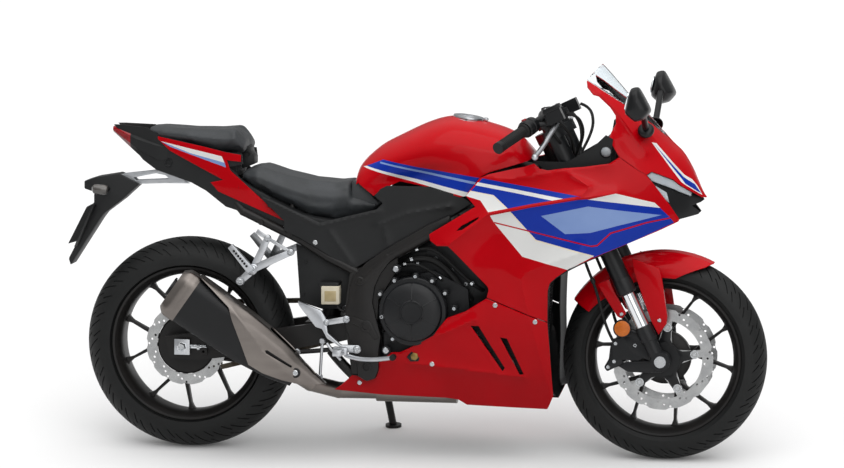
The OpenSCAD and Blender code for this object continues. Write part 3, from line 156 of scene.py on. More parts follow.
SUNS = {"overhead": ((0.3, -0.5, 2.0), 70, 1.25), "camera_side": ((0.9, -2.2, 1.1), 50, 0.75)}
for name, (place, wide, power) in SUNS.items():
    lamp = bpy.data.objects.new(name, bpy.data.lights.new(name, "SUN"))
    bpy.context.scene.collection.objects.link(lamp)
    lamp.data.angle = math.radians(wide)
    lamp.data.energy = power
    lamp.rotation_euler = (-Vector(place)).to_track_quat("-Z", "Y").to_euler()

FLOOR_HALF = 250
FLOOR_LIFT = 0.05
floor_bm = bmesh.new()
bmesh.ops.create_grid(floor_bm, x_segments=1, y_segments=1, size=FLOOR_HALF)
floor_mesh = bpy.data.meshes.new("floor")
floor_bm.to_mesh(floor_mesh)
floor_bm.free()
floor = bpy.data.objects.new("floor", floor_mesh)
bpy.context.scene.collection.objects.link(floor)
paper = bpy.data.materials.new("matt_white_paper")
paper.use_nodes = True
sheet = paper.node_tree
sheet.nodes.clear()
path = node(sheet, "ShaderNodeLightPath")
sight = node(sheet, "ShaderNodeMath", {0: path.outputs["Is Camera Ray"], 1: path.outputs["Is Glossy Ray"]},
             operation="MAXIMUM")
sight = node(sheet, "ShaderNodeMath", {0: sight.outputs[0], 1: path.outputs["Is Transmission Ray"]},
             operation="MAXIMUM")
lift = node(sheet, "ShaderNodeMath", {0: sight.outputs[0], 1: FLOOR_LIFT}, operation="MULTIPLY")
bounce = node(sheet, "ShaderNodeBsdfDiffuse", {"Color": linear("777777")})
matt = node(sheet, "ShaderNodeBsdfDiffuse", {"Color": linear("ececec")})
extra = node(sheet, "ShaderNodeEmission", {"Color": linear("fbfbfb"), "Strength": lift.outputs[0]})
shown = node(sheet, "ShaderNodeAddShader", {0: matt.outputs[0], 1: extra.outputs[0]})
both = node(sheet, "ShaderNodeMixShader", {0: sight.outputs[0], 1: bounce.outputs[0], 2: shown.outputs[0]})
node(sheet, "ShaderNodeOutputMaterial", {"Surface": both.outputs[0]})
floor_mesh.materials.append(paper)
bpy.context.scene.view_settings.view_transform = "Standard"
print("suns:", list(SUNS))

# %% [markdown]
# ## Finishes
# Nearly every surface of a motorcycle is one of a few families: lacquered paint, moulded plastic with a
# spark texture, cast or machined metal, and rubber. They differ in colour, roughness, in how big their
# grain is and in how deep it goes. One function builds them all from those facts: a slow cloud of two close
# colours, a fine grain that moves the roughness and raises the surface, and a lacquer layer where the real
# piece has one. The grain sizes are real millimetres; where the real grain would not show in the picture it
# is drawn coarser, and the line says so.


# %% The function for a finish
TINT_FROM, TINT_TO = 0.35, 0.65
SMOOTHEST = 0.02


def finish(name, colour, second, rough, drift, grain, depth, cloud, stretch=(1, 1, 1),
           pattern="ShaderNodeTexNoise", **sockets):
    """A surface of two close colours in clouds of 'cloud' mm, with a grain of 'grain' mm, 'depth' mm deep."""
    material = bpy.data.materials.new(name)
    material.use_nodes = True
    tree = material.node_tree
    tree.nodes.clear()
    place = node(tree, "ShaderNodeTexCoord")
    spot = node(tree, "ShaderNodeMapping", {"Vector": place.outputs["Object"], "Scale": stretch})
    fine = node(tree, pattern, {"Vector": spot.outputs[0], "Scale": 1 / (grain * MM)})
    fine_out = fine.outputs["Distance"] if "Distance" in fine.outputs else fine.outputs[0]
    slow = node(tree, "ShaderNodeTexNoise", {"Vector": spot.outputs[0], "Scale": 1 / (cloud * MM),
                                             "Detail": 3.0})
    tint = node(tree, "ShaderNodeValToRGB", {"Fac": slow.outputs["Fac"]})
    for stop, at, code in zip(tint.color_ramp.elements, (TINT_FROM, TINT_TO), (second, colour)):
        stop.position = at
        stop.color = linear(code)
    dull = node(tree, "ShaderNodeMapRange", {"Value": fine_out, "To Min": max(rough - drift, SMOOTHEST),
                                             "To Max": rough + drift})
    raised = node(tree, "ShaderNodeBump", {"Height": fine_out, "Strength": 1.0, "Distance": depth * MM})
    look = {"Base Color": tint.outputs[0], "Roughness": dull.outputs[0], "Normal": raised.outputs[0]}
    skin = node(tree, "ShaderNodeBsdfPrincipled", {**look, **sockets})
    node(tree, "ShaderNodeOutputMaterial", {"Surface": skin.outputs[0]})
    return material


# %% [markdown]
# Lacquered ABS: paint under a clear coat, so it has one sharp reflection over a softer one. The lacquer's
# own ripple (orange peel) is a few millimetres across and only thousandths deep. The stripes are the same
# lacquer over other colours.

# %% Paints
LACQUER = {"Coat Weight": 0.4, "Coat Roughness": 0.03, "Coat IOR": 1.3, "Specular IOR Level": 0.06}
DARK = {"Specular IOR Level": 0.3}
PAINTS = {"red": ("c40010", "bb000d"), "blue": ("1438ac", "1233a2"), "pale_blue": ("8aa4d8", "809bd2"),
          "white": ("f0f0ee", "eaeae8"), "cream": ("f3ead6", "ece2cc")}
BODYWORK = [finish(f"{paint_name}_lacquered_abs", *pair, 0.32, 0.05, 4, 0.004, 150, **LACQUER)
            for paint_name, pair in PAINTS.items()]
RED = BODYWORK[0]
IN_RED, IN_BLUE, IN_SKY, IN_WHITE, IN_CREAM = range(len(BODYWORK))
print("paints:", list(PAINTS))

# %% [markdown]
# Moulded plastic, rubber and metal. Unpainted polypropylene has a spark-eroded grain of about half a
# millimetre, drawn at 1.5 mm so that it shows. Cast and powder-coated metal is a little rougher than
# machined metal; machined metal shows tool lines, so its grain is stretched.

# %% Plastics, rubber and metals
GRAINED = finish("black_grained_polypropylene", "1a1b1c", "151617", 0.52, 0.1, 1.5, 0.12, 90, **DARK)
SATIN = finish("satin_black_abs", "111214", "0d0e10", 0.36, 0.08, 2.5, 0.03, 80, **DARK)
POWDER = finish("black_powder_coated_steel", "1c1a19", "161515", 0.42, 0.1, 2.2, 0.05, 70, **DARK)
CAST_BLACK = finish("black_painted_cast_aluminium", "18191b", "121315", 0.38, 0.1, 3, 0.08, 60, **DARK)
RUBBER = finish("moulded_rubber", "141414", "0f0f0f", 0.62, 0.1, 1.2, 0.1, 50, **DARK)
TYRE = finish("tyre_rubber", "131414", "0e0f0f", 0.58, 0.12, 1.6, 0.08, 45, **DARK)
ALLOY = finish("cast_aluminium", "c3c5c8", "b4b7bb", 0.36, 0.1, 1.8, 0.05, 40, Metallic=1.0)
BRIGHT = finish("zinc_plated_steel", "d4d6d8", "c4c8cc", 0.24, 0.08, 1.5, 0.02, 25, Metallic=1.0)
CHROME = finish("hard_chromed_steel", "dfe1e4", "d3d6da", 0.1, 0.04, 1.5, 0.01, 60, (1, 1, 0.2), Metallic=1.0)
GROUND = finish("ground_stainless_steel", "bfc0c0", "afb0b1", 0.3, 0.1, 1.2, 0.02, 30, Metallic=1.0)
TITANIUM = finish("brushed_titanium_steel", "7f7974", "726c68", 0.34, 0.1, 1.2, 0.03, 60, (0.25, 1, 1),
                  Metallic=1.0)
CHAIN_STEEL = finish("oiled_chain_steel", "5d574d", "463f37", 0.38, 0.12, 2, 0.05, 12, Metallic=1.0)
BRASS = finish("dull_gold_anodised_aluminium", "8f7a4a", "7d6a3f", 0.36, 0.1, 1.5, 0.04, 30, Metallic=1.0)
MILK = finish("translucent_polyethylene", "d8d0bb", "cfc6ae", 0.4, 0.06, 2, 0.02, 30)
AMBER = finish("amber_acrylic_prism", "d9720f", "c8630a", 0.2, 0.1, 3.5, 0.5, 20,
               pattern="ShaderNodeTexVoronoi")
RED_LENS = finish("red_acrylic_lens", "9c0610", "86040c", 0.14, 0.05, 4, 0.15, 30)
SMOKE = finish("smoked_polycarbonate", "54504c", "474340", 0.16, 0.05, 4, 0.05, 30, **{"Coat Weight": 0.6})
CLEAR = finish("clear_polycarbonate", "f4f8fa", "eef4f8", 0.03, 0.01, 30, 0.01, 200,
               **{"Transmission Weight": 1.0, "IOR": 1.08})
LAMP = finish("clear_lamp_lens", "e9eef2", "dfe6ec", 0.06, 0.03, 7, 0.2, 40, pattern="ShaderNodeTexVoronoi",
              **{"Transmission Weight": 0.55, "IOR": 1.3})
VINYL = finish("grained_seat_vinyl", "34373a", "2c2f31", 0.56, 0.1, 2.4, 0.25, 70,
               pattern="ShaderNodeTexVoronoi")
MIRROR = finish("silvered_mirror_glass", "e8ecee", "e2e7ea", 0.03, 0.01, 20, 0.001, 60, Metallic=1.0)
print("finishes:", len(bpy.data.materials))

NODE_FINISH = {"frame": POWDER, "swingarm": POWDER, "engine": CAST_BLACK, "engine_covers": CAST_BLACK,
               "exhaust": TITANIUM, "muffler": SATIN, "muffler_shield": TITANIUM, "radiator": SATIN,
               "fuel_tank": RED, "rider_seat": VINYL, "passenger_seat": VINYL, "tail_cowls": RED,
               "undertray": GRAINED, "tail_light": RED_LENS, "plate_holder": GRAINED,
               "rear_indicators": SMOKE, "side_covers": GRAINED, "nose_cowl": RED, "windscreen": CLEAR,
               "headlight": LAMP, "nose_chin": SATIN, "side_fairings": RED, "belly_fairings": RED,
               "inner_panels": GRAINED, "instrument": SATIN, "mirrors": SATIN, "footrests": ALLOY,
               "passenger_pegs": ALLOY, "rear_caliper": CAST_BLACK, "rear_reservoir": MILK,
               "rear_shock": SATIN, "chain": CHAIN_STEEL, "rear_axle": BRIGHT, "fork_uppers": SATIN,
               "fork_stanchions": CHROME, "fork_feet": CAST_BLACK, "triple_clamps": CAST_BLACK,
               "handlebars": SATIN, "grips": RUBBER, "front_mudguard": RED, "front_calipers": CAST_BLACK,
               "front_axle": BRIGHT, "front_tyre": TYRE, "front_wheel": CAST_BLACK, "front_discs": GROUND,
               "rear_tyre": TYRE, "rear_wheel": CAST_BLACK, "rear_disc": GROUND,
               "rear_sprocket": CHAIN_STEEL, "fuel_cap": SATIN, "side_stand": POWDER}
for name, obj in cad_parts.items():
    obj.data.materials.clear()
    obj.data.materials.append(NODE_FINISH[name])
print("CAD nodes with a finish:", len(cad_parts))

# %% [markdown]
# ## Tools for panels
# A fairing is a thin shell that is smooth over its middle, has crisp character lines, and is trimmed along
# a free outline. Drawing it point by point would be slow and lumpy. Here a fine grid is pressed onto a
# smooth surface, cut along the outline, the character lines and the stripes' edges with plane cuts, and
# what lies outside is deleted. The trim lines are pixels of the photograph, cast through the camera onto
# that surface, so they land where the picture shows them. A modifier gives the shell its thickness.


# %% Smooth tables and surfaces
def cubic(a, b, c, d, t):
    """The Catmull-Rom curve from b to c."""
    return 0.5 * (2 * b + (c - a) * t + (2 * a - 5 * b + 4 * c - d) * t * t
                  + (3 * b - a - 3 * c + d) * t ** 3)


def spline(a, b, c, d, t):
    """The cubic B-spline from b to c: it only comes near its points, but reflections run without a kink."""
    return (a * (1 - t) ** 3 + b * (3 * t ** 3 - 6 * t * t + 4) + c * (3 * t + 3 * t * t - 3 * t ** 3 + 1)
            + d * t ** 3) / 6


def along(values, share, curve=cubic):
    """A smooth value from a list of numbers or rows, at a share from 0 to 1."""
    last = len(values) - 1
    s = min(max(share, 0), 1) * last
    i = min(int(s), last - 1)
    single = not isinstance(values[0], (tuple, list))
    rows = [[value] for value in values] if single else list(values)
    before = [2 * b - a for a, b in zip(rows[1], rows[0])]
    after = [2 * b - a for a, b in zip(rows[-2], rows[-1])]
    four = ([before] + rows + [after])[i:i + 4]
    smooth = [curve(*group, s - i) for group in zip(*four)]
    return smooth[0] if single else smooth


def over(table, u, v):
    """A smooth value from a table of rows."""
    return along([along(row, v, spline) for row in table], u, spline)


def line_distance(point, line):
    """How far a point of the side view is from a line of points."""
    gaps = []
    for a, b in zip(line, line[1:]):
        run = (b[0] - a[0], b[1] - a[1])
        t = ((point[0] - a[0]) * run[0] + (point[1] - a[1]) * run[1]) / (run[0] ** 2 + run[1] ** 2 + 1e-9)
        t = min(max(t, 0), 1)
        gaps.append(math.hypot(point[0] - a[0] - t * run[0], point[1] - a[1] - t * run[1]))
    return min(gaps)


def inside(point, outline):
    """Whether a point of the side view is inside a closed outline."""
    hit = False
    for (ax, az), (bx, bz) in zip(outline, outline[1:] + outline[:1]):
        if (az > point[1]) != (bz > point[1]) and point[0] < ax + (point[1] - az) * (bx - ax) / (bz - az):
            hit = not hit
    return hit


# %% Cutting and painting a surface
CUT_MARGIN, FINE_MARGIN = 14, 12
SEARCH_LONG, SEARCH_STEP = 4000, 40


def grid(columns, rows, place):
    """A grid of faces pressed onto a surface: place(u, v) gives the point for two shares from 0 to 1."""
    bm = bmesh.new()
    bmesh.ops.create_grid(bm, x_segments=columns, y_segments=rows, size=0.5)
    for v in bm.verts:
        v.co = place(v.co.x + 0.5, v.co.y + 0.5)
    return bm


def trace(bm, pixels):
    """Casts pixels onto a surface, and gives their (x, z) places."""
    tree = BVHTree.FromBMesh(bm)
    points = []
    for pixel in pixels:
        way = ray(pixel).normalized()
        hit = tree.ray_cast(EYE, way)[0]
        if hit is None:
            close = EYE + way * (FAR - SEARCH_LONG / 2)
            steps = range(0, SEARCH_LONG, SEARCH_STEP)
            hit = min((tree.find_nearest(close + way * step)[0] for step in steps),
                      key=lambda p: ((p - EYE).cross(way)).length)
            hit = EYE + way * (hit - EYE).dot(way)
        points.append((hit.x, hit.z))
    return points


def side_view(face):
    """The (x, z) place of a face's middle."""
    middle = face.calc_center_median()
    return middle.x, middle.z


def cut(bm, line, closed=True, margin=CUT_MARGIN):
    """Cuts a surface along a line of the side view, only in the faces beside it."""
    for a, b in zip(line, line[1:] + (line[:1] if closed else [])):
        across = Vector((a[1] - b[1], 0, b[0] - a[0])).normalized()
        near = [f for f in bm.faces if line_distance(side_view(f), [a, b]) < margin]
        touched = set(near)
        for f in near:
            touched.update(f.edges)
            touched.update(f.verts)
        bmesh.ops.bisect_plane(bm, geom=list(touched), dist=0.15, plane_co=(a[0], 0, a[1]), plane_no=across)


def trim(bm, outline, keep=True):
    """Deletes the faces outside an outline, or inside it."""
    drop = [f for f in bm.faces if inside(side_view(f), outline) != keep]
    bmesh.ops.delete(bm, geom=drop, context="FACES")


def paint(bm, outline, finish_index):
    """Gives the faces inside an outline another finish."""
    for f in bm.faces:
        if inside(side_view(f), outline):
            f.material_index = finish_index


def panel(bm, outline_px, holes=(), stripes=(), before=(), after=(), margin=CUT_MARGIN):
    """Cuts a surface along pixels: outline, holes, (stripe, paint) pairs; before and after are open cuts."""
    outline = trace(bm, outline_px)
    openings = [trace(bm, pixels) for pixels in holes]
    painted = [(trace(bm, pixels), index) for pixels, index in stripes]
    for line in before:
        cut(bm, line, closed=False, margin=margin)
    for line in [outline] + openings + [line for line, index in painted]:
        cut(bm, line, margin=margin)
    for line in after:
        cut(bm, line, closed=False, margin=margin)
    trim(bm, outline)
    for line in openings:
        trim(bm, line, keep=False)
    for line, index in painted:
        paint(bm, line, index)


# %% From a mesh to a piece that rides on a body
MEETING, APART, SEAM = 0.2, 0.001, 0.05
BEVEL_FROM = 50


def add(bm, part, move=None):
    """Adds a finished small mesh to a bigger one, after an optional move."""
    mesh = bpy.data.meshes.new("part")
    part.to_mesh(mesh)
    part.free()
    if move:
        mesh.transform(move)
    bm.from_mesh(mesh)
    bpy.data.meshes.remove(mesh)


def dye(bm, index):
    """Gives every face of a mesh one of its piece's finishes."""
    for f in bm.faces:
        f.material_index = index


def face_away(bm, point):
    """Turns the faces of an open sheet so that they look away from a point."""
    bmesh.ops.recalc_face_normals(bm, faces=bm.faces)
    if sum(f.normal.dot(f.calc_center_median() - point) for f in bm.faces) < 0:
        bmesh.ops.reverse_faces(bm, faces=bm.faces)


def both_sides(bm, weld=MEETING):
    """Adds the mirrored other side, facing outwards too, and welds the two where they meet."""
    made = bmesh.ops.duplicate(bm, geom=bm.verts[:] + bm.edges[:] + bm.faces[:])["geom"]
    bmesh.ops.scale(bm, vec=(1, -1, 1), verts=[g for g in made if isinstance(g, bmesh.types.BMVert)])
    bmesh.ops.reverse_faces(bm, faces=[g for g in made if isinstance(g, bmesh.types.BMFace)])
    bmesh.ops.remove_doubles(bm, verts=bm.verts, dist=weld)


def piece(name, bm, finishes, body, stands_for=(), wall=0, edge=0, sharp=38, lining=None):
    """Leans the mesh onto the stand, in metres, and makes it a piece; wall and edge are in millimetres."""
    mesh = bpy.data.meshes.new(name)
    bm.to_mesh(mesh)
    bm.free()
    mesh.transform(PARKED)
    obj = bpy.data.objects.new(name, mesh)
    bpy.context.scene.collection.objects.link(obj)
    for material in finishes if isinstance(finishes, list) else [finishes]:
        mesh.materials.append(material)
    mesh.shade_smooth()
    mesh.set_sharp_from_angle(angle=math.radians(sharp))
    if wall:
        shell = obj.modifiers.new("wall", "SOLIDIFY")
        shell.thickness = wall * MM
        shell.offset = -1
        if lining:
            mesh.materials.append(lining)
            shell.material_offset = len(mesh.materials) - 1
    if edge:
        broken = obj.modifiers.new("edge", "BEVEL")
        broken.width = edge * MM
        broken.segments = 2
        broken.limit_method = "ANGLE"
        broken.angle_limit = math.radians(BEVEL_FROM)
    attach(obj, body)
    if stands_for:
        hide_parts(*stands_for)
    print(f"{name}: {len(mesh.polygons)} faces on {body}")
    return obj


# %% [markdown]
# ## Fairing sides
# The side panel is the piece that takes most skill: a broad shell with a ridge that runs from the intake
# wedge by the frame up towards the nose, a narrow top facet beside the tank, a raised wing, and the
# stripes. Its half width over the side view is the same small table that the CAD uses, smoothed. Each
# character line is a sharp, low crest added to that table, which fades out away from the line.

# %% The fairing's surface
FAIRING_HALF = 232
FAIRING_LOW, FAIRING_HIGH = (-0.185, 0.13), (0.54, 0.79)
FAIRING_SHARES = [
    [0.47, 0.64, 0.71, 0.73, 0.73, 0.71, 0.65],
    [0.52, 0.71, 0.8, 0.82, 0.82, 0.8, 0.69],
    [0.56, 0.8, 0.91, 0.94, 0.93, 0.89, 0.73],
    [0.57, 0.83, 0.94, 0.97, 0.97, 0.95, 0.74],
    [0.52, 0.78, 0.91, 0.96, 0.98, 1, 0.78],
    [0.39, 0.58, 0.72, 0.83, 0.89, 0.9, 0.74],
    [0.13, 0.22, 0.31, 0.4, 0.47, 0.48, 0.39]]


def fairing_place(crests):
    """The surface of the fairing's right side, with crests along lines: (line, height in mm, reach in mm)."""
    def place(u, v):
        x = (FAIRING_LOW[0] + u * (FAIRING_HIGH[0] - FAIRING_LOW[0])) * WHEELBASE
        z = (FAIRING_LOW[1] + v * (FAIRING_HIGH[1] - FAIRING_LOW[1])) * HEIGHT
        half = FAIRING_HALF * over(FAIRING_SHARES, u, v)
        for line, high, reach in crests:
            half += high * math.exp(-line_distance((x, z), line) / reach)
        return Vector((x, -half, z))
    return place


def fairing_shares(x, z):
    """A place of the side view as two shares of the fairing's surface."""
    return ((x / WHEELBASE - FAIRING_LOW[0]) / (FAIRING_HIGH[0] - FAIRING_LOW[0]),
            (z / HEIGHT - FAIRING_LOW[1]) / (FAIRING_HIGH[1] - FAIRING_LOW[1]))


def press(bm, place):
    """Puts the points of a cut fairing back onto its surface."""
    for v in bm.verts:
        v.co = place(*fairing_shares(v.co.x, v.co.z))


FAIRING_COLUMNS, FAIRING_ROWS = 110, 82
plain = grid(FAIRING_COLUMNS, FAIRING_ROWS, fairing_place([]))
RIDGE_PX = [(448.5, 245), (488, 214), (531, 205.8), (577.5, 198.3), (615.5, 193.2)]
TOP_FACET_PX = [(486, 177), (511.6, 179.1), (568, 170), (610, 164.5)]
WING_PX = [(571, 174.5), (590.5, 186.7), (581, 196)]
FRONT_TURN_PX = [(582, 252), (530, 270.5), (521, 278.5), (523.6, 294), (529, 316), (537, 345), (552, 400)]
CRESTS = [(trace(plain, RIDGE_PX), 11, 26), (trace(plain, TOP_FACET_PX), 8, 20),
          (trace(plain, WING_PX), 7, 10), (trace(plain, FRONT_TURN_PX), 4, 26)]
fairing_surface = fairing_place(CRESTS)
print("crests over the fairing:", len(CRESTS))

# %% Side panels with their stripes
SIDE_PX = [(465.7, 195.9), (479.7, 178), (489, 174.2), (525, 166.5), (534, 163.6), (540, 168.8),
           (548, 170.4), (564.5, 168.2), (583, 167), (609.4, 163.6), (619.1, 157.3), (638, 170.5),
           (646.7, 175.3), (656.4, 187.7), (669, 203.8), (679.4, 219.3), (678.5, 221.5), (659.9, 230.2),
           (600, 255.2), (568.5, 269.2), (556.4, 277.3), (549.7, 283.3), (547.6, 291), (547.3, 322),
           (529, 315.5), (486.7, 297.6), (488.6, 290), (487.3, 286.4), (448, 246.3), (437, 246),
           (430, 240.5), (429.3, 234.1), (475.3, 206.7)]
SLOT_PX = [(456, 231), (461, 226), (479, 216.5), (478, 219), (462, 230)]
BLUE_PX = [(470.3, 191.3), (482.4, 178.3), (530, 187.2), (578.4, 196.4), (588.2, 199.7), (624, 203.8),
           (660.1, 207.9), (670, 217.3), (673.9, 222.7), (634, 241), (593.5, 257.5), (535.4, 240.3),
           (507, 208.9), (493.3, 195.9)]
PALE_PX = [(477.8, 182.2), (516.2, 189.5), (565.2, 199.3), (554.5, 201.2), (516.2, 193.2), (475.2, 185.2)]
SKY_PX = [(541, 216), (588, 206.5), (661.6, 215), (617.3, 226), (590, 233), (565.2, 234.2)]
WHITE_PX = [(465.7, 195.9), (470.3, 190.8), (493.3, 195.4), (507, 208.9), (535.4, 240.3), (593.5, 256.4),
            (568, 270), (522.3, 256.7), (494, 222.7), (487.9, 212), (480.3, 200.5)]
CREAM_PX = [(470.3, 190.6), (493.6, 195.1), (507.4, 208.2), (535.9, 239.7), (593.9, 255.8), (593.1, 257.2),
            (535.1, 241), (506.6, 209.3), (493, 196.3), (470, 191.7)]
UPPER_WHITE_PX = [(588.2, 199.7), (615.7, 193.6), (654.8, 202.8), (660.1, 207.9), (624, 203.8)]
RIDGE_BAND_PX = [(487.5, 212.4), (531.5, 204), (577.5, 196.5), (588.2, 199.2), (577.5, 200), (531.5, 207.5),
                 (489.4, 215.8)]
SEAM_PX = [(494, 221.8), (545, 234.4), (591.2, 245.7), (597, 244.8), (610.2, 232.6), (646.3, 222),
           (672, 216.8), (672.6, 218.1), (646.6, 223.4), (610.9, 234), (597.6, 246.3), (591.2, 247.1),
           (544.6, 235.7), (494, 223.2)]
STRIPES = [(BLUE_PX, IN_BLUE), (PALE_PX, IN_WHITE), (SKY_PX, IN_SKY), (WHITE_PX, IN_WHITE),
           (CREAM_PX, IN_CREAM), (UPPER_WHITE_PX, IN_WHITE), (RIDGE_BAND_PX, IN_RED), (SEAM_PX, IN_RED)]
side = grid(FAIRING_COLUMNS, FAIRING_ROWS, fairing_surface)
panel(side, SIDE_PX, [SLOT_PX], STRIPES, before=[line for line, high, reach in CRESTS])
press(side, fairing_surface)
both_sides(side)
piece("fairing_sides", side, BODYWORK, "chassis", ["side_fairings"], wall=3.5, edge=0.8,
      lining=SATIN)

# %% [markdown]
# ## Belly panels
# The belly pan closes the fairing under the engine. It has a raised shelf along its lower half, two slanted
# vents and a return flange along the engine. The left panel leaves room for the side stand.

# %% Belly panels with their vents
BELLY_PX = [(334.8, 389.4), (341.2, 385), (352.1, 375.4), (357.8, 376), (367.4, 379.9), (374.4, 376.7),
            (376.9, 371.6), (378.9, 362.7), (391, 352.4), (399.9, 352.4), (420.3, 342.9), (433.1, 335.9),
            (440.7, 325.7), (447.1, 318), (465, 311.6), (475.2, 305.3), (486.3, 298.6), (529, 316.5),
            (547.3, 323), (549.7, 351.2), (551.5, 375.5), (553.3, 396.1), (549.1, 405.8), (547.3, 409.2),
            (466.9, 404.7), (458.6, 399.6), (445.8, 397.7), (382, 394.5)]
VENTS_PX = [[(470.5, 326), (478.5, 326), (504.8, 368), (502.5, 371.5)],
            [(500, 337.5), (506.8, 338.5), (523.8, 374.5), (519.5, 374.8)]]
SHELF_PX = [(410, 363.5), (440, 366), (480, 371.5), (524, 377)]
FLANGE_PX = [(440, 335), (473.3, 320)]
belly_crests = CRESTS + [(trace(plain, SHELF_PX), 7, 18), (trace(plain, FLANGE_PX), 6, 16)]
belly_surface = fairing_place(belly_crests)
belly = grid(FAIRING_COLUMNS, FAIRING_ROWS, belly_surface)
UPPER_CRESTS = 3
panel(belly, BELLY_PX, VENTS_PX, before=[line for line, high, reach in belly_crests[UPPER_CRESTS:]])
press(belly, belly_surface)
STAND_ROOM = [(-402, 98), (-402, 328), (-113, 328), (-63, 98)]
cut(belly, STAND_ROOM)
both_sides(belly)
left_room = [f for f in belly.faces if f.calc_center_median().y > 0 and inside(side_view(f), STAND_ROOM)]
bmesh.ops.delete(belly, geom=left_room, context="FACES")
piece("belly_panels", belly, BODYWORK, "chassis", ["belly_fairings"], wall=3.5, edge=0.8,
      lining=SATIN)

# %% [markdown]
# ## Nose and screen
# The nose is one pointed shell that carries on into the clear screen, so both are cut from the same loft.
# Its rows run forward; each has a lower edge, an upper edge and a half width, and one section shape serves
# them all. A polygon cage with subdivision would give a softer shape, but the loft keeps the silhouette of
# the side view exact.

# %% The nose's surface
NOSE_HALF = 210
NOSE_SECTION = [[1, 0], [0.98, 0.25], [0.82, 0.5], [0.66, 0.7], [0.54, 0.85], [0.33, 0.95], [0, 1]]
NOSE_ROWS = [[0.335, 0.6, 1.035, 1], [0.37, 0.6, 1, 0.975], [0.425, 0.6, 0.925, 0.905],
             [0.47, 0.6, 0.87, 0.81], [0.51, 0.6, 0.815, 0.655], [0.535, 0.6, 0.785, 0.5],
             [0.555, 0.6, 0.745, 0.345], [0.575, 0.6, 0.69, 0.145], [0.585, 0.6, 0.67, 0.04]]


def nose_place(inset):
    """The right half of the nose, moved inwards by an inset in mm."""
    def place(u, v):
        x, low, high, half = along(NOSE_ROWS, u)
        y, z = along(NOSE_SECTION, v)
        bottom, top = low * HEIGHT, high * HEIGHT - inset
        return Vector((x * WHEELBASE - inset, -max(y * (half * NOSE_HALF - inset), 0),
                       bottom + z * (top - bottom)))
    return place


NOSE_COLUMNS, NOSE_RINGS = 84, 70
NOSE_FADE = 40


def nose_panel(inset, outline_px, stripes=(), crests_px=()):
    """A panel cut from the nose: its outline, its stripes and its crests are pixels."""
    bm = grid(NOSE_COLUMNS, NOSE_RINGS, nose_place(inset))
    crests = [(trace(bm, pixels), high, reach) for pixels, high, reach in crests_px]
    panel(bm, outline_px, stripes=stripes, after=[line for line, high, reach in crests], margin=FINE_MARGIN)
    for line, high, reach in crests:
        for v in bm.verts:
            crest = high * math.exp(-line_distance((v.co.x, v.co.z), line) / reach)
            v.co.y -= crest * min(-v.co.y / NOSE_FADE, 1)
    both_sides(bm)
    return bm


print("rows of the nose:", len(NOSE_ROWS))

# %% Painted cowl with its thin stripe
SCREEN_EDGE_PX = [(587, 80.4), (595.6, 85.6), (625.4, 105.1), (651.8, 123.5), (673.6, 141.8)]
LAMP_EDGE_PX = [(706.9, 197), (702.3, 197.3), (692, 191.6), (678.2, 183.5), (673.6, 179.5), (651.8, 171.5),
                (646.7, 174.8)]
COWL_PX = SCREEN_EDGE_PX + [(700, 135), (722, 190)] + LAMP_EDGE_PX + [
    (638, 170), (619.1, 156.7), (608.8, 138.4), (612, 131), (616.2, 123.5), (615.7, 115.4), (610.5, 107.4),
    (599, 96.5), (593.3, 94.8), (587.5, 87.3)]
NOSE_WHITE_PX = [(651.8, 142.2), (656.6, 143), (684.7, 174.6), (692.4, 179.2), (697.4, 185.2), (702.6, 195),
                 (685.1, 184.6), (681.4, 182)]
NOSE_BLUE_PX = [(654, 143.5), (683.6, 176.6), (694.8, 183.9), (701.4, 193.2), (685.6, 183.7), (681.9, 178.8)]
NOSE_CRESTS = [([(600, 93), (616, 110), (632, 131), (646, 152)], 8, 12),
               ([(634, 116), (654, 137), (684, 175), (702, 195)], 6, 9)]
NOSE_STRIPES = [(NOSE_WHITE_PX, IN_WHITE), (NOSE_BLUE_PX, IN_BLUE)]
cowl = nose_panel(0, COWL_PX, NOSE_STRIPES, NOSE_CRESTS)
piece("nose_shell", cowl, BODYWORK, "chassis", ["nose_cowl"], wall=3.5, edge=0.8,
      lining=SATIN)

# %% Clear screen
SCREEN_PX = [(587, 79.6), (595.6, 84.8), (625.4, 104.3), (651.8, 122.7), (674, 141.2), (700, 130), (640, 60),
             (612, 30), (605.3, 60.9)]
SCREEN_INSET = 0.5
screen = nose_panel(SCREEN_INSET, SCREEN_PX)
piece("screen", screen, CLEAR, "chassis", ["windscreen"], wall=2.5)

# %% [markdown]
# ## Lamps and chin
# Under the cowl's edge a black mask carries two slim lamps on each side. The mask is cut from the same
# loft, set back by a few millimetres; bright reflectors are painted into it, and clear lenses stand in
# front of them.

# %% Mask, reflectors and lenses
MASK_PX = [(646.7, 174.4), (651.8, 171), (673.6, 179), (678.2, 183), (692, 191), (702.3, 196.8),
           (708, 196.8), (701, 202), (692, 205.5), (700.5, 211.8), (698.3, 214.1), (680.5, 219),
           (678.9, 219.8), (668, 204.3), (655.6, 188.2)]
LENS_PX = [(647.5, 175.3), (652, 172.4), (673.2, 180.4), (678, 184.5), (692, 192.6), (691, 196), (672, 188.2),
           (652.2, 181)]
LOW_LENS_PX = [(655, 185.5), (666.8, 192.6), (669.4, 202.8), (664, 197.5)]
CORE_PX = [(650.5, 176.2), (653, 174.3), (672.6, 181.8), (690, 193), (689, 194.4), (671.5, 186.6),
           (654, 179.4)]
LOW_CORE_PX = [(657.5, 188), (665.6, 193.2), (667.4, 199), (663.6, 195)]
MASK_INSET, LENS_INSET = 7, 2.5
mask = nose_panel(MASK_INSET, MASK_PX, [(CORE_PX, 1), (LOW_CORE_PX, 1)])
piece("lamp_mask", mask, [SATIN, BRIGHT], "chassis", ["nose_chin"], wall=3, edge=0.6)
lens = nose_panel(LENS_INSET, LENS_PX)
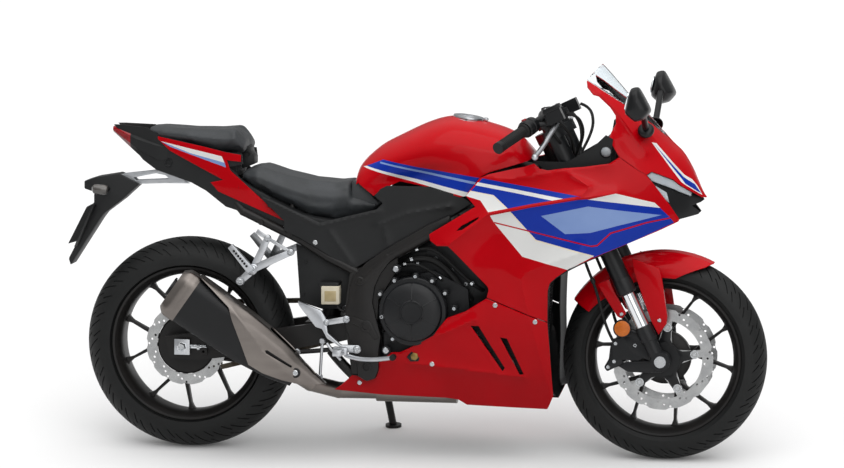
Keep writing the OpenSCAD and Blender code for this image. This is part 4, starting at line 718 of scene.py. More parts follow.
add(lens, nose_panel(LENS_INSET, LOW_LENS_PX))
piece("lamp_lenses", lens, LAMP, "chassis", ["headlight"], wall=2)

# %% [markdown]
# ## Tail
# The tail is a slim black shell with a painted cowl on each side. Both follow one small table of half
# widths, with the shell a little inside the paint. The stripe is a wedge of white over pale blue.

# %% The tail's surface
TAIL_HALF = 130
TAIL_LOW, TAIL_HIGH = (-0.67, 0.585), (-0.275, 0.83)
TAIL_SHARES = [[0.14, 0.2, 0.24], [0.46, 0.52, 0.52], [0.69, 0.75, 0.7], [0.85, 0.9, 0.83],
               [0.95, 1.0, 0.925], [1.015, 1.06, 0.985]]


def tail_place(inset):
    """The right side of the tail, moved inwards by an inset in mm."""
    def place(u, v):
        x = (TAIL_LOW[0] + u * (TAIL_HIGH[0] - TAIL_LOW[0])) * WHEELBASE
        z = (TAIL_LOW[1] + v * (TAIL_HIGH[1] - TAIL_LOW[1])) * HEIGHT
        return Vector((x, inset - TAIL_HALF * over(TAIL_SHARES, u, v), z))
    return place


def side_panel(surface, columns, rows, outline_px, stripes=()):
    """A panel for both sides, cut from a side surface along pixels."""
    bm = grid(columns, rows, surface)
    panel(bm, outline_px, stripes=stripes, margin=FINE_MARGIN)
    both_sides(bm)
    return bm


print("rows of the tail:", len(TAIL_SHARES))

# %% Painted tail cowls and the black shell
TAIL_COWL_PX = [(157.9, 136.4), (202.1, 146.3), (226.6, 152.6), (240.7, 154.9), (240.7, 161.9),
                (226.6, 160.2), (230.1, 170.3), (257.8, 196), (284.1, 220.8), (218.2, 191.4),
                (210.5, 182.3), (223.1, 179.9), (169.8, 150.7), (157.9, 138.8)]
TAIL_WHITE_PX = [(160.7, 141.1), (221.7, 156.3), (224.5, 162.9), (190, 153.2)]
TAIL_SKY_PX = [(160.7, 141.1), (190, 153), (224.5, 162.7), (226, 167.5), (169.8, 146.6)]
TAIL_COLUMNS, TAIL_RINGS = 70, 40
TAIL_STRIPES = [(TAIL_WHITE_PX, IN_WHITE), (TAIL_SKY_PX, IN_SKY)]
tail_cowl = side_panel(tail_place(0), TAIL_COLUMNS, TAIL_RINGS, TAIL_COWL_PX, TAIL_STRIPES)
piece("tail_cowl_pair", tail_cowl, BODYWORK, "chassis", ["tail_cowls"], wall=3, edge=0.8,
      lining=SATIN)
TAIL_SHELL_PX = [(113.7, 123.6), (147, 127.5), (158, 135), (226, 152), (242, 154), (243, 164), (229, 167),
                 (291, 227), (286, 229.5), (262, 218.5), (230.5, 208.2), (226, 206.8), (206, 190.7),
                 (191, 182.3), (156, 169.6), (143.1, 159.8)]
SHELL_INSET = 4
tail_shell = side_panel(tail_place(SHELL_INSET), TAIL_COLUMNS, TAIL_RINGS, TAIL_SHELL_PX)
piece("tail_shell_sides", tail_shell, GRAINED, "chassis", wall=3, edge=0.8)

# %% [markdown]
# ## Tank
# The tank is a lofted shell: wide shoulders over the rider's knees, a hollow below them, and a flat top for
# the filler. Each row of the table is one cross section from bottom to top, as half widths. The rise slows
# down to nothing at the top, so that the two halves meet without a ridge. The lower edge is trimmed along
# the line that the side cover leaves visible.

# %% Tank shell
TANK_HALF = 155
TANK_SPANS = [(-207, 742, 792), (-196, 742, 848), (-140, 742, 904), (-75, 742, 941), (5, 745, 979),
              (67, 748, 996), (120, 755, 993), (176, 770, 981), (256, 800, 953), (309, 835, 905),
              (324, 850, 878)]
TANK_SHARES = [[0.42, 0.45, 0.46, 0.42, 0.32, 0.18, 0], [0.56, 0.6, 0.62, 0.58, 0.48, 0.28, 0],
               [0.7, 0.7, 0.7, 0.7, 0.62, 0.38, 0], [0.8, 0.78, 0.74, 0.82, 0.78, 0.5, 0],
               [0.88, 0.85, 0.83, 0.96, 0.92, 0.6, 0], [0.95, 0.94, 0.94, 1.02, 0.96, 0.64, 0],
               [1.0, 1.0, 1.0, 1.02, 0.95, 0.64, 0], [1.0, 1.02, 1.03, 1.0, 0.9, 0.6, 0],
               [0.92, 0.94, 0.94, 0.9, 0.8, 0.52, 0], [0.78, 0.8, 0.79, 0.74, 0.62, 0.36, 0],
               [0.5, 0.5, 0.48, 0.44, 0.34, 0.2, 0]]


def tank_place(u, v):
    """The right half of the tank."""
    x, low, high = along(TANK_SPANS, u)
    half = max(along([along(row, v) for row in TANK_SHARES], u), 0) * TANK_HALF
    rise = v + v ** 4 * (1 - v)
    return Vector((x, -half if v < 1 else 0, low + (high - low) * rise))


TANK_EDGE_PX = [(340, 100), (345, 190), (358.4, 182.9), (373.6, 196), (380.3, 190.3), (399.6, 181.3),
                (420, 185.3), (460, 197.3), (465.5, 196.2), (479.7, 177.6), (489, 172.4), (527.5, 161),
                (531.5, 158.8), (536.4, 151.5), (575, 140), (560, 60), (340, 60)]
TANK_BLUE_PX = [(366.3, 165.7), (383.3, 159.4), (420, 167.6), (482, 178.3), (467, 193), (420, 179.9)]
TANK_PALE_PX = [(380.3, 161.6), (420, 170.4), (478, 182.6), (476, 184.8), (420, 172.4), (380, 163.2)]
TANK_WHITE_PX = [(363.3, 166), (367, 165.7), (420, 179.8), (468, 192.6), (465, 197), (420, 183.6)]
TANK_STRIPES = [(TANK_BLUE_PX, IN_BLUE), (TANK_PALE_PX, IN_SKY), (TANK_WHITE_PX, IN_WHITE)]
TANK_COLUMNS, TANK_RINGS = 96, 64
tank = grid(TANK_COLUMNS, TANK_RINGS, tank_place)
panel(tank, TANK_EDGE_PX, stripes=TANK_STRIPES, margin=FINE_MARGIN)
CAP_SPOT = Vector((0.085 * WHEELBASE, 0, 0.86 * HEIGHT))
CAP_TILT = math.radians(8)
CAP_WAY = Vector((math.sin(CAP_TILT), 0, math.cos(CAP_TILT)))
FILLER_R, FILLER_DEEP = 44, 40
over_filler = [f for f in tank.faces if (f.calc_center_median() - CAP_SPOT).cross(CAP_WAY).length < FILLER_R
               and f.calc_center_median().z > CAP_SPOT.z - FILLER_DEEP]
bmesh.ops.delete(tank, geom=over_filler, context="FACES")
both_sides(tank)
piece("tank_shell", tank, BODYWORK, "chassis", ["fuel_tank"], wall=2, edge=0.6)

# %% [markdown]
# ## Turned pieces, tubes and bolts
# Wheels, covers, grips and bolt heads are turned: a profile is drawn once and spun round an axis. Hoses and
# rods are a round curve that is made a mesh. A bolt head is repeated often, so it has only a few dozen
# faces.


# %% Lathe, tube and bolt
OUTWARD = (0, -1, 0)
TUBE_SIDES, TUBE_STEPS = 3, 8
POLE_WELD = 0.01


def lathe(bm, profile, centre, axis=(0, 1, 0), steps=48, index=0):
    """Turns a profile of (radius, place along the axis) round an axis."""
    part = bmesh.new()
    way = Vector(axis).normalized()
    out = way.orthogonal().normalized()
    points = [part.verts.new(Vector(centre) + out * r + way * a) for r, a in profile]
    lines = [part.edges.new(pair) for pair in zip(points, points[1:])]
    bmesh.ops.spin(part, geom=points + lines, cent=centre, axis=way, angle=2 * math.pi, steps=steps,
                   use_merge=True)
    bmesh.ops.remove_doubles(part, verts=part.verts, dist=POLE_WELD)
    bmesh.ops.recalc_face_normals(part, faces=part.faces)
    dye(part, index)
    add(bm, part)


def tube(bm, points, radius, index=0):
    """A round tube along a smooth route."""
    route = bpy.data.curves.new("route", "CURVE")
    route.dimensions = "3D"
    route.bevel_depth = radius
    route.bevel_resolution = TUBE_SIDES
    route.resolution_u = TUBE_STEPS
    route.use_fill_caps = True
    thread = route.splines.new("NURBS")
    thread.points.add(len(points) - 1)
    for spot, point in zip(thread.points, points):
        spot.co = (*point, 1)
    thread.order_u = min(4, len(points))
    thread.use_endpoint_u = True
    holder = bpy.data.objects.new("route", route)
    mesh = bpy.data.meshes.new_from_object(holder)
    part = bmesh.new()
    part.from_mesh(mesh)
    bmesh.ops.remove_doubles(part, verts=part.verts, dist=POLE_WELD)
    bmesh.ops.recalc_face_normals(part, faces=part.faces)
    dye(part, index)
    add(bm, part)
    bpy.data.objects.remove(holder)
    bpy.data.meshes.remove(mesh)
    bpy.data.curves.remove(route)


def bolt(bm, spot, axis, radius, high, index=0):
    """A round head with a sunk socket."""
    lathe(bm, [(0, high * 0.45), (radius * 0.45, high * 0.45), (radius * 0.5, high), (radius * 0.82, high),
               (radius, high * 0.7), (radius, -2)], spot, axis, steps=12, index=index)


def plate(bm, outline, near, far, edge=2.0, index=0):
    """A flat plate with broken edges: an outline of (x, z) places between two sideways places."""
    part = bmesh.new()
    face = part.faces.new([part.verts.new((x, near, z)) for x, z in outline])
    grown = bmesh.ops.extrude_face_region(part, geom=[face])["geom"]
    corners = [g for g in grown if isinstance(g, bmesh.types.BMVert)]
    bmesh.ops.translate(part, vec=(0, far - near, 0), verts=corners)
    bmesh.ops.recalc_face_normals(part, faces=part.faces)
    bmesh.ops.bevel(part, geom=part.edges[:], offset=edge, segments=2, profile=0.5, affect="EDGES",
                    material=-1)
    dye(part, index)
    add(bm, part)


# %% [markdown]
# ## Front mudguard
# The mudguard follows the tyre: a hoop around the axle with a rounded section, pointed at the front. Two
# blades on each side reach down to the fork's foot. It is pressed onto a polar surface, and rides on the
# steering.

# %% Mudguard hoop and blades
FRONT_AXLE = Vector((WHEELBASE / 2, 0, 300))
GUARD_RING, GUARD_ROUND = 240, 76
GUARD_FROM, GUARD_TURN = 63, 85
TIP_WRAP, MORE_WRAP, TIP_SHARE = 18, 72, 0.22
TAPER_WRAP, TAPER_FROM = 48, 0.75
CREASE_HIGH, CREASE_AT, CREASE_WIDE = 5, 0.5, 0.12


def guard_place(u, v):
    """The hoop from its front tip to its tail, wrapped round the tyre's section."""
    turn = math.radians(GUARD_FROM + u * GUARD_TURN)
    wide = TIP_WRAP + MORE_WRAP * min(u / TIP_SHARE, 1) ** 0.6 - TAPER_WRAP * max(u - TAPER_FROM, 0)
    wrap = math.radians(wide * (2 * v - 1))
    crease = CREASE_HIGH * math.exp(-((abs(wrap) - CREASE_AT) / CREASE_WIDE) ** 2)
    reach = GUARD_RING + GUARD_ROUND * math.cos(wrap) + crease
    return FRONT_AXLE + Vector((reach * math.cos(turn), GUARD_ROUND * math.sin(wrap), reach * math.sin(turn)))


guard = grid(60, 28, guard_place)
face_away(guard, FRONT_AXLE)
piece("mudguard_hoop", guard, RED, "steering", ["front_mudguard"], wall=3, edge=0.8)

FRONT_BLADE_PX = [(632, 258), (659.3, 268), (662, 278.4), (667.4, 316.5), (666.6, 323.9), (658.5, 334.9),
                  (651.2, 320.9), (643.9, 300.4), (634.3, 272.5)]
REAR_BLADE_PX = [(597, 284), (609.4, 279), (614, 290), (626.3, 313.6), (621.9, 318.7), (617.5, 316.5),
                 (601.3, 291)]
blades = bmesh.new()
for pixels in (FRONT_BLADE_PX, REAR_BLADE_PX):
    plate(blades, all_seen(pixels, -100), -104, -94)
both_sides(blades, APART)
piece("mudguard_blades", blades, RED, "steering")

# %% [markdown]
# ## Side covers
# The black covers under the tank and seat are moulded polypropylene with raised lines.

# %% Side covers
COVER_PX = [(284, 221), (256, 193.6), (268, 199), (319.7, 222.7), (376.6, 209.4), (382.7, 203.3),
            (374.5, 196), (380.3, 189), (399.6, 179.5), (420, 183.5), (460, 196), (471.4, 203.5),
            (426.7, 231), (389.7, 247.5), (355.3, 268), (350, 268), (300, 238), (284, 230.5)]
COVER_LINES_PX = [[(262, 198), (319.7, 226), (379, 211.5)], [(378, 225), (407.5, 213.6), (450, 206)],
                  [(330, 232), (352, 264)], [(384, 228), (388, 246)]]
COVER_OUT = 152
COVER_X, COVER_LONG, COVER_Z, COVER_TALL = -470, 640, 540, 260
COVER_CREST, COVER_REACH = 8, 8
COVER_COLUMNS, COVER_ROWS = 110, 46
flat = grid(10, 10, lambda u, v: Vector((COVER_X + COVER_LONG * u, -COVER_OUT, COVER_Z + COVER_TALL * v)))
cover_lines = [trace(flat, pixels) for pixels in COVER_LINES_PX]


def cover_place(u, v):
    """The right cover: flat, pulled in at the top and at the back, with raised lines."""
    x, z = COVER_X + COVER_LONG * u, COVER_Z + COVER_TALL * v
    half = COVER_OUT - 26 * max(-0.15 - u * 0.2 + 0.35 * v, 0) - 30 * max(0.28 - u, 0)
    for line in cover_lines:
        half += COVER_CREST * math.exp(-line_distance((x, z), line) / COVER_REACH)
    return Vector((x, -half, z))


covers = side_panel(cover_place, COVER_COLUMNS, COVER_ROWS, COVER_PX)
piece("side_cover_pair", covers, GRAINED, "chassis", ["side_covers"], wall=3, edge=0.8)

# %% [markdown]
# ## Tyres
# A sport tyre is round across its tread, with short slanted slots that shed water. A grid is wrapped round
# the section; its columns slant away from the middle line, so a slot is simply a run of faces in one column
# that is inset and sunk. Boolean cuts would do the same with much heavier meshes.

# %% Two tyres with slots
REAR_AXLE = Vector((-WHEELBASE / 2, 0, 312))
TYRE_COLUMNS, TYRE_ROWS, TYRE_PATTERN = 360, 30, 12
TYRE_SLANT = 0.13
BEAD_SHARE = 0.38
SLOT_EDGE, SLOT_DEEP = 0.5, 3
SLOTS = {(0, row) for row in range(6, 11)}
SLOTS |= {(4, row) for row in range(9, 14)} | {(8, row) for row in range(5, 8)}
SLOTS |= {((column + 6) % TYRE_PATTERN, TYRE_ROWS - 1 - row) for column, row in SLOTS}


def tyre(name, axle, radius, width, body, stands_for):
    """A tyre with its slots sunk into the tread."""
    bm = bmesh.new()
    bmesh.ops.create_grid(bm, x_segments=TYRE_COLUMNS, y_segments=TYRE_ROWS, size=0.5)
    slots = []
    for f in bm.faces:
        middle = f.calc_center_median()
        column, row = int((middle.x + 0.5) * TYRE_COLUMNS), int((middle.y + 0.5) * TYRE_ROWS)
        if (column % TYRE_PATTERN, row) in SLOTS:
            slots.append(f)
    bead, belly, round_at = width * BEAD_SHARE, width / 2, radius - width / 2
    side = [(round_at + belly * math.cos(a), belly * math.sin(a)) for a in
            (math.radians(10 * k) for k in range(8))]
    half = side + [(round_at + belly * 0.02, belly * 0.985), (232, bead + 5), (220, bead - 1)]
    profile = [(r, -y) for r, y in reversed(half[1:])] + half
    for v in bm.verts:
        turn, across = v.co.x + 0.5, v.co.y + 0.5
        r, y = along(profile, across)
        turn = 2 * math.pi * (turn - TYRE_SLANT * abs(across - 0.5))
        v.co = axle + Vector((r * math.cos(turn), y, r * math.sin(turn)))
    bmesh.ops.remove_doubles(bm, verts=bm.verts, dist=SEAM)
    bmesh.ops.recalc_face_normals(bm, faces=bm.faces)
    bmesh.ops.inset_region(bm, faces=slots, thickness=SLOT_EDGE, depth=-SLOT_DEEP, use_even_offset=True)
    piece(name, bm, TYRE, body, [stands_for])


tyre("front_tyre_tread", FRONT_AXLE, 300, 120, "front_wheel_body", "front_tyre")
tyre("rear_tyre_tread", REAR_AXLE, 312, 160, "rear_wheel_body", "rear_tyre")

# %% [markdown]
# ## Wheels
# Cast wheels: a turned rim and hub, and five forked pairs of thin spokes with a flared foot at the rim.
# Each spoke is a bevelled plate turned into its place.

# %% Rims, spokes and hubs
RIM_INNER = 203
SPOKE_PAIRS, SPOKE_TILT, SPOKE_APART = 5, 11, 18
SPOKE = [(5, -15), (5, 15), (-4, 8), (-18, 4), (-166, 6.5), (-166, -6.5), (-18, -4), (-4, -8)]


def wheel(name, axle, half, hub, turn, body, stands_for):
    """A rim of a half width, a hub and five pairs of spokes; turn is where the first pair stands."""
    bm = bmesh.new()
    lip = half + 6
    rim = [(229, -lip + 1), (227, -lip - 1), (221, -lip), (214, -lip + 7), (206, -lip + 20), (RIM_INNER, -22),
           (RIM_INNER, 22), (206, lip - 20), (214, lip - 7), (221, lip), (227, lip + 1), (229, lip - 1),
           (217, half - 8), (212, 0), (217, 8 - half), (229, -lip + 1)]
    lathe(bm, rim, axle, steps=120)
    lathe(bm, hub + [hub[0]], axle, steps=64)
    for pair in range(SPOKE_PAIRS):
        for side in (-1, 1):
            spoke = bmesh.new()
            plate(spoke, SPOKE, -14, 14, edge=2.4)
            lean = Matrix.Rotation(math.radians(side * SPOKE_TILT), 4, "Y")
            tilt = Matrix.Translation((RIM_INNER, 0, 0)) @ lean
            angle = math.radians(turn - 360 / SPOKE_PAIRS * pair - SPOKE_APART * side)
            add(bm, spoke, Matrix.Translation(axle) @ Matrix.Rotation(angle, 4, "Y") @ tilt)
    piece(name, bm, POWDER, body, [stands_for], sharp=32)


FRONT_HUB = [(11, -58), (30, -58), (33, -54), (33, -30), (44, -17), (70, -15), (78, -11), (78, 11), (70, 15),
             (44, 17), (33, 30), (33, 54), (30, 58), (11, 58)]
REAR_HUB = [(11, -88), (82, -88), (87, -84), (87, -66), (60, -58), (55, -20), (78, -13), (78, 13), (55, 20),
            (55, 60), (66, 66), (66, 90), (11, 90)]
wheel("front_wheel_cast", FRONT_AXLE, 45.9, FRONT_HUB, 27, "front_wheel_body", "front_wheel")
wheel("rear_wheel_cast", REAR_AXLE, 61.1, REAR_HUB, 72, "rear_wheel_body", "rear_wheel")

# %% [markdown]
# ## Disc carriers
# The discs' wavy rings are right as they come from the CAD. Over their grey carriers go the black anodised
# stars of the real ones, with bright bobbins where the ring floats on the star.

# %% Black stars and bright bobbins
stars = bmesh.new()
for side in (-1, 1):
    lathe(stars, [(13, 57.8), (46, 57.8), (53, 58.2), (53, 65.8), (46, 66.2), (30, 67.5), (13, 67.5),
                  (13, 57.8)], FRONT_AXLE, (0, side, 0))
    for arm in range(5):
        turn = math.radians(10 + 72 * arm)
        star = bmesh.new()
        plate(star, [(30, -33), (62, -15), (96, -12.2), (96, 12.2), (62, 15), (30, 33), (52, 0)], side * 58,
              side * 66, edge=1.2)
        add(stars, star, Matrix.Translation(FRONT_AXLE) @ Matrix.Rotation(-turn, 4, "Y"))
        spot = FRONT_AXLE + Vector((95 * math.cos(turn), side * 66, 95 * math.sin(turn)))
        lathe(stars, [(0, 2), (5, 2), (6, 1), (8, 1), (9, 2.5), (12.4, 2.5), (13, 1), (13, -9)], spot,
              (0, side, 0), steps=20, index=1)
piece("disc_stars", stars, [SATIN, BRIGHT], "front_wheel_body", sharp=30)

# %% [markdown]
# ## Muffler
# The muffler is a black can with a rounded six-sided section, a bright end cap, and a shield that covers
# its front. All three follow one loft along the can's axis; the shield is the same loft a little bigger,
# cut along its outline.

# %% The can's surface
CAN_FOOT = Vector((-0.265 * WHEELBASE, -182, 0.22 * HEIGHT))
CAN_TIP = Vector((-0.51 * WHEELBASE, -222, 0.43 * HEIGHT))
CAN_HIGH, CAN_WIDE = 150, 104
CAN_SECTION = [(-0.5, -0.32), (-0.32, -0.5), (0.2, -0.5), (0.5, -0.3), (0.5, 0.3), (0.25, 0.5), (-0.36, 0.5),
               (-0.5, 0.34)]
CAN_SCALES = [0.2, 0.3, 0.4, 0.52, 0.7, 0.8, 0.88, 0.93, 0.955, 0.975, 0.99, 1.0, 1.0]
CAN_FROM = -0.36
CAN_TIGHT = 0.12
can_way = (CAN_TIP - CAN_FOOT).normalized()
can_out = Vector(OUTWARD) - can_way * Vector(OUTWARD).dot(can_way)
can_out.normalize()
can_up = can_out.cross(can_way)
CAN_LONG = (CAN_TIP - CAN_FOOT).length


def ring_point(corners, share, tight=0.1):
    """A place on a closed outline with rounded corners, at a share of its way round."""
    dense = []
    for a, b in zip(corners, corners[1:] + corners[:1]):
        dense += [[p + (q - p) * k for p, q in zip(a, b)] for k in (tight, 0.5, 1 - tight)]
    turn = share % 1 * len(dense)
    i = int(turn)
    return [spline(*four, turn - i) for four in zip(*(dense[(i + k) % len(dense)] for k in (-1, 0, 1, 2)))]


def can_place(start, end, grow, scale=None, turns=(0, 1)):
    """The can from one share of its length to another, grown by some mm."""
    def place(u, v):
        share = start + u * (end - start)
        size = along(CAN_SCALES, (share - CAN_FROM) / (1 - CAN_FROM))
        if scale:
            size *= along(scale, u)
        across, high = ring_point(CAN_SECTION, turns[0] + v * (turns[1] - turns[0]), CAN_TIGHT)
        outwards = can_out * across * (CAN_WIDE * size + 2 * grow)
        upwards = can_up * high * (CAN_HIGH * size + 2 * grow)
        return CAN_FOOT + can_way * share * CAN_LONG - outwards + upwards
    return place


def closed_loft(columns, rings, place):
    """A loft whose last column meets its first, with its two ends closed."""
    bm = grid(columns, rings, place)
    bmesh.ops.remove_doubles(bm, verts=bm.verts, dist=SEAM)
    bmesh.ops.holes_fill(bm, edges=[e for e in bm.edges if e.is_boundary])
    bmesh.ops.recalc_face_normals(bm, faces=bm.faces)
    return bm


can = closed_loft(40, 72, can_place(-0.05, 0.93, 0))
piece("muffler_can", can, SATIN, "chassis", ["muffler"], sharp=50)
cap = closed_loft(24, 72, can_place(0.87, 1.0, 2.2, [0.985, 1.0, 1.0, 1.0, 0.98, 0.9, 0.78]))
lathe(cap, [(31, 2), (31, 8), (28, 9), (26, 7), (26, -40), (0, -42)], CAN_TIP, can_way, steps=36, index=1)
piece("muffler_end_cap", cap, [TITANIUM, SATIN], "chassis", sharp=30)

# %% Shield over the can
SHIELD_PX = [(202.1, 267.4), (206.3, 268.8), (268.7, 322.8), (272.2, 331.2), (296.1, 352.2), (313.2, 374.1),
             (332.3, 378.6), (331, 383.1), (300, 384.5), (282, 380.3), (262.4, 373.3), (248.4, 364.9),
             (240, 342), (232.2, 321.4), (228.7, 307.3), (204.2, 280.7), (201.4, 271.6)]
SHIELD_SLOT_PX = [(265.2, 350.4), (267.5, 350.2), (292.2, 366), (291.2, 368), (266, 353)]
FOLD_HIGH, FOLD_REACH = 5, 14
SHIELD_FOLD_PX = [(203, 274), (231, 305), (262, 352), (300, 383)]
shield = grid(120, 60, can_place(CAN_FROM, 1.02, 9, turns=(0.7, 1.32)))
FAR_LEFT = Vector((0, 1e6, 0))
face_away(shield, FAR_LEFT)
shield_edge, shield_slot = trace(shield, SHIELD_PX), trace(shield, SHIELD_SLOT_PX)
fold = trace(shield, SHIELD_FOLD_PX)
for v in shield.verts:
    v.co.y -= FOLD_HIGH * math.exp(-line_distance((v.co.x, v.co.z), fold) / FOLD_REACH)
for line in (shield_edge, shield_slot):
    cut(shield, line)
trim(shield, shield_edge)
trim(shield, shield_slot, keep=False)
piece("muffler_guard", shield, TITANIUM, "chassis", ["muffler_shield"], wall=3, edge=0.8)

# %% [markdown]
# ## Seats
# A seat is foam under a stretched vinyl cover: full in the middle, tight over the edges. Each starts as a
# slightly smaller copy of the CAD solid, is remeshed to even points, and is blown up as cloth until the
# cover is taut. The movement of each point is capped so that the seat keeps its outline, and one
# subdivision smooths it.

# %% Blow up the seats
SEAT_VOXEL = 5
SEAT_START = 0.985
SEAT_PRESSURE, SEAT_FRAMES, SEAT_SMOOTHING = 4, 20, 3


def seat(name, stands_for, cap):
    """A padded cover blown up from a CAD seat; no point moves further than the cap, in mm."""
    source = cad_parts[stands_for]
    bm = bmesh.new()
    bm.from_mesh(source.data)
    bmesh.ops.remove_doubles(bm, verts=bm.verts, dist=0.0001)
    middle = sum((v.co for v in bm.verts), Vector()) / len(bm.verts)
    for v in bm.verts:
        v.co = middle + (v.co - middle) * SEAT_START
    mesh = bpy.data.meshes.new(name)
    bm.to_mesh(mesh)
    bm.free()
    obj = bpy.data.objects.new(name, mesh)
    bpy.context.scene.collection.objects.link(obj)
    even = obj.modifiers.new("even", "REMESH")
    even.mode = "VOXEL"
    even.voxel_size = SEAT_VOXEL * MM
    obj.data = bpy.data.meshes.new_from_object(obj.evaluated_get(bpy.context.evaluated_depsgraph_get()))
    obj.modifiers.clear()
    rest = [v.co.copy() for v in obj.data.vertices]
    cover = obj.modifiers.new("cover", "CLOTH")
    cover.settings.use_pressure = True
    cover.settings.uniform_pressure_force = SEAT_PRESSURE
    cover.settings.quality = 6
    cover.settings.tension_stiffness = cover.settings.compression_stiffness = 30
    cover.settings.bending_stiffness = 2
    cover.settings.effector_weights.gravity = 0
    cover.point_cache.frame_start, cover.point_cache.frame_end = 1, SEAT_FRAMES
    for moment in range(1, SEAT_FRAMES + 1):
        bpy.context.scene.frame_set(moment)
    blown = bpy.data.meshes.new_from_object(obj.evaluated_get(bpy.context.evaluated_depsgraph_get()))
    obj.modifiers.clear()
    obj.data = blown
    bpy.context.scene.frame_set(1)
    for v, start in zip(obj.data.vertices, rest):
        step = v.co - start
        if step.length > cap * MM:
            v.co = start + step.normalized() * cap * MM
    even_out = bmesh.new()
    even_out.from_mesh(obj.data)
    for _ in range(SEAT_SMOOTHING):
        bmesh.ops.smooth_vert(even_out, verts=even_out.verts, factor=0.5, use_axis_x=True, use_axis_y=True,
                              use_axis_z=True)
    even_out.to_mesh(obj.data)
    even_out.free()
    obj.data.materials.clear()
    obj.data.materials.append(VINYL)
    obj.data.shade_smooth()
    soft = obj.modifiers.new("rounds", "SUBSURF")
    soft.levels = soft.render_levels = 1
    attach(obj, "chassis")
    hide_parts(stands_for)
    print(f"{name}: {len(obj.data.vertices)} points")


seat("rider_seat_cover", "rider_seat", 6)
seat("passenger_seat_cover", "passenger_seat", 5)

# %% [markdown]
# ## Seat base
# A moulded pan closes the space between the rider's seat and the side covers, a pad fills the step where
# the seat's nose runs under the tank, and a lock bracket stands between the seats. The pan follows the
# underside of the seat.

# %% Pan, nose pad and lock bracket
base_bm = bmesh.new()
PAN_TOP = [(-452, 757), (-430, 747), (-390, 728), (-350, 710), (-310, 700), (-270, 694), (-230, 697),
           (-190, 704), (-120, 724)]
TAIL_PAN_TOP = [(-545, 806), (-470, 768), (-445, 755)]
PAN_DEEP = 26
for top, half in ((PAN_TOP, 146), (TAIL_PAN_TOP, 122)):
    plate(base_bm, top + [(x, z - PAN_DEEP) for x, z in reversed(top)], -half, half, edge=2)
NOSE_PAD_PX = [(352, 180.5), (358, 181.5), (364, 184), (373.5, 197), (380, 204), (374, 208), (350, 213)]
plate(base_bm, all_seen(NOSE_PAD_PX, -84), -84, 84, edge=5, index=1)
LOCK_PX = [(241.2, 148.4), (245.8, 144.3), (250.1, 147.2), (251, 151.8), (254.4, 156.4), (254.4, 164),
           (241.8, 169)]
LOCK_HOLE_PX = (247.5, 153.5)
LOCK_HALF = 30
plate(base_bm, all_seen(LOCK_PX, -LOCK_HALF), -LOCK_HALF, LOCK_HALF, edge=2.5)
x, z = seen(LOCK_HOLE_PX, -LOCK_HALF)
for side in (-1, 1):
    lathe(base_bm, [(0, 0.5), (4.5, 0.5), (5.5, 2), (7.5, 2), (8.5, 0), (8.5, -3)], (x, side * LOCK_HALF, z),
          (0, side, 0), 20)
piece("seat_base", base_bm, [GRAINED, VINYL], "chassis", sharp=30)

# %% [markdown]
# ## Engine covers
# The clutch cover is a shallow cast dome with six ribs and a ring of bright bolts; the generator cover on
# the other side is its plainer twin. Both are turned, with bevelled ribs laid over the dome.

# %% Clutch and generator covers
covers_bm = bmesh.new()
CLUTCH, GENERATOR = Vector((-14.1, 0, 437)), Vector((28.2, 0, 425.5))
CLUTCH_PROFILE = [(100, 160), (100, 186), (97, 189), (88, 190), (87, 193), (84, 200), (76, 206),
                  (58, 210.5), (36, 213), (34, 215), (31, 215), (29.5, 212.5), (14, 212), (0, 212)]
lathe(covers_bm, CLUTCH_PROFILE, CLUTCH, OUTWARD, steps=96)
lathe(covers_bm, [(86, 158), (86, 176), (83, 179), (72, 184), (56, 190), (30, 194), (28, 196), (24, 196),
                  (22, 193), (0, 193)], GENERATOR, (0, 1, 0), steps=96)
for rib in range(6):
    angle = math.radians(30 + 60 * rib)
    for centre, side, reach, out in ((CLUTCH, -1, 84, 201), (GENERATOR, 1, 76, 182)):
        bar = bmesh.new()
        plate(bar, [(36, -2), (reach, -2.6), (reach, 2.6), (36, 2)], side * (out - 10), side * (out + 15),
              edge=1)
        for v in bar.verts:
            if abs(v.co.y) > out:
                v.co.y -= side * 12 * max((v.co.x - 36) / (reach - 36), 0) ** 2
        add(covers_bm, bar, Matrix.Translation(centre) @ Matrix.Rotation(-angle, 4, "Y"))
COVER_BOLTS_PX = [(394.2, 280.8), (415.2, 276.6), (432, 281), (444.9, 293.4), (453.9, 308.7), (379.9, 294.2),
                  (381.5, 317), (392.4, 339.2)]
BIG_BOLTS_PX = [(395.8, 269.3), (385.6, 350.5)]
for pixels, radius in ((COVER_BOLTS_PX, 6), (BIG_BOLTS_PX, 9)):
    for x, z in all_seen(pixels, -190):
        boss = Vector((x, -160, z))
        lathe(covers_bm, [(radius + 4, 0), (radius + 4, 24), (radius + 2, 26), (0, 26)], boss, OUTWARD,
              steps=16)
        bolt(covers_bm, boss + Vector((0, -26, 0)), OUTWARD, radius, 6, index=1)
for step in range(8):
    angle = math.radians(20 + 45 * step)
    spot = GENERATOR + Vector((80 * math.cos(angle), 174, 80 * math.sin(angle)))
    bolt(covers_bm, spot, (0, 1, 0), 5.5, 6, index=1)
piece("engine_cover_pair", covers_bm, [CAST_BLACK, BRIGHT], "chassis", ["engine_covers"],
      sharp=28)

# %% [markdown]
# ## Filler cap
# A flush aluminium cap on a bolted ring. The ring belongs to the tank; the cap opens, so it rides on its
# own body.

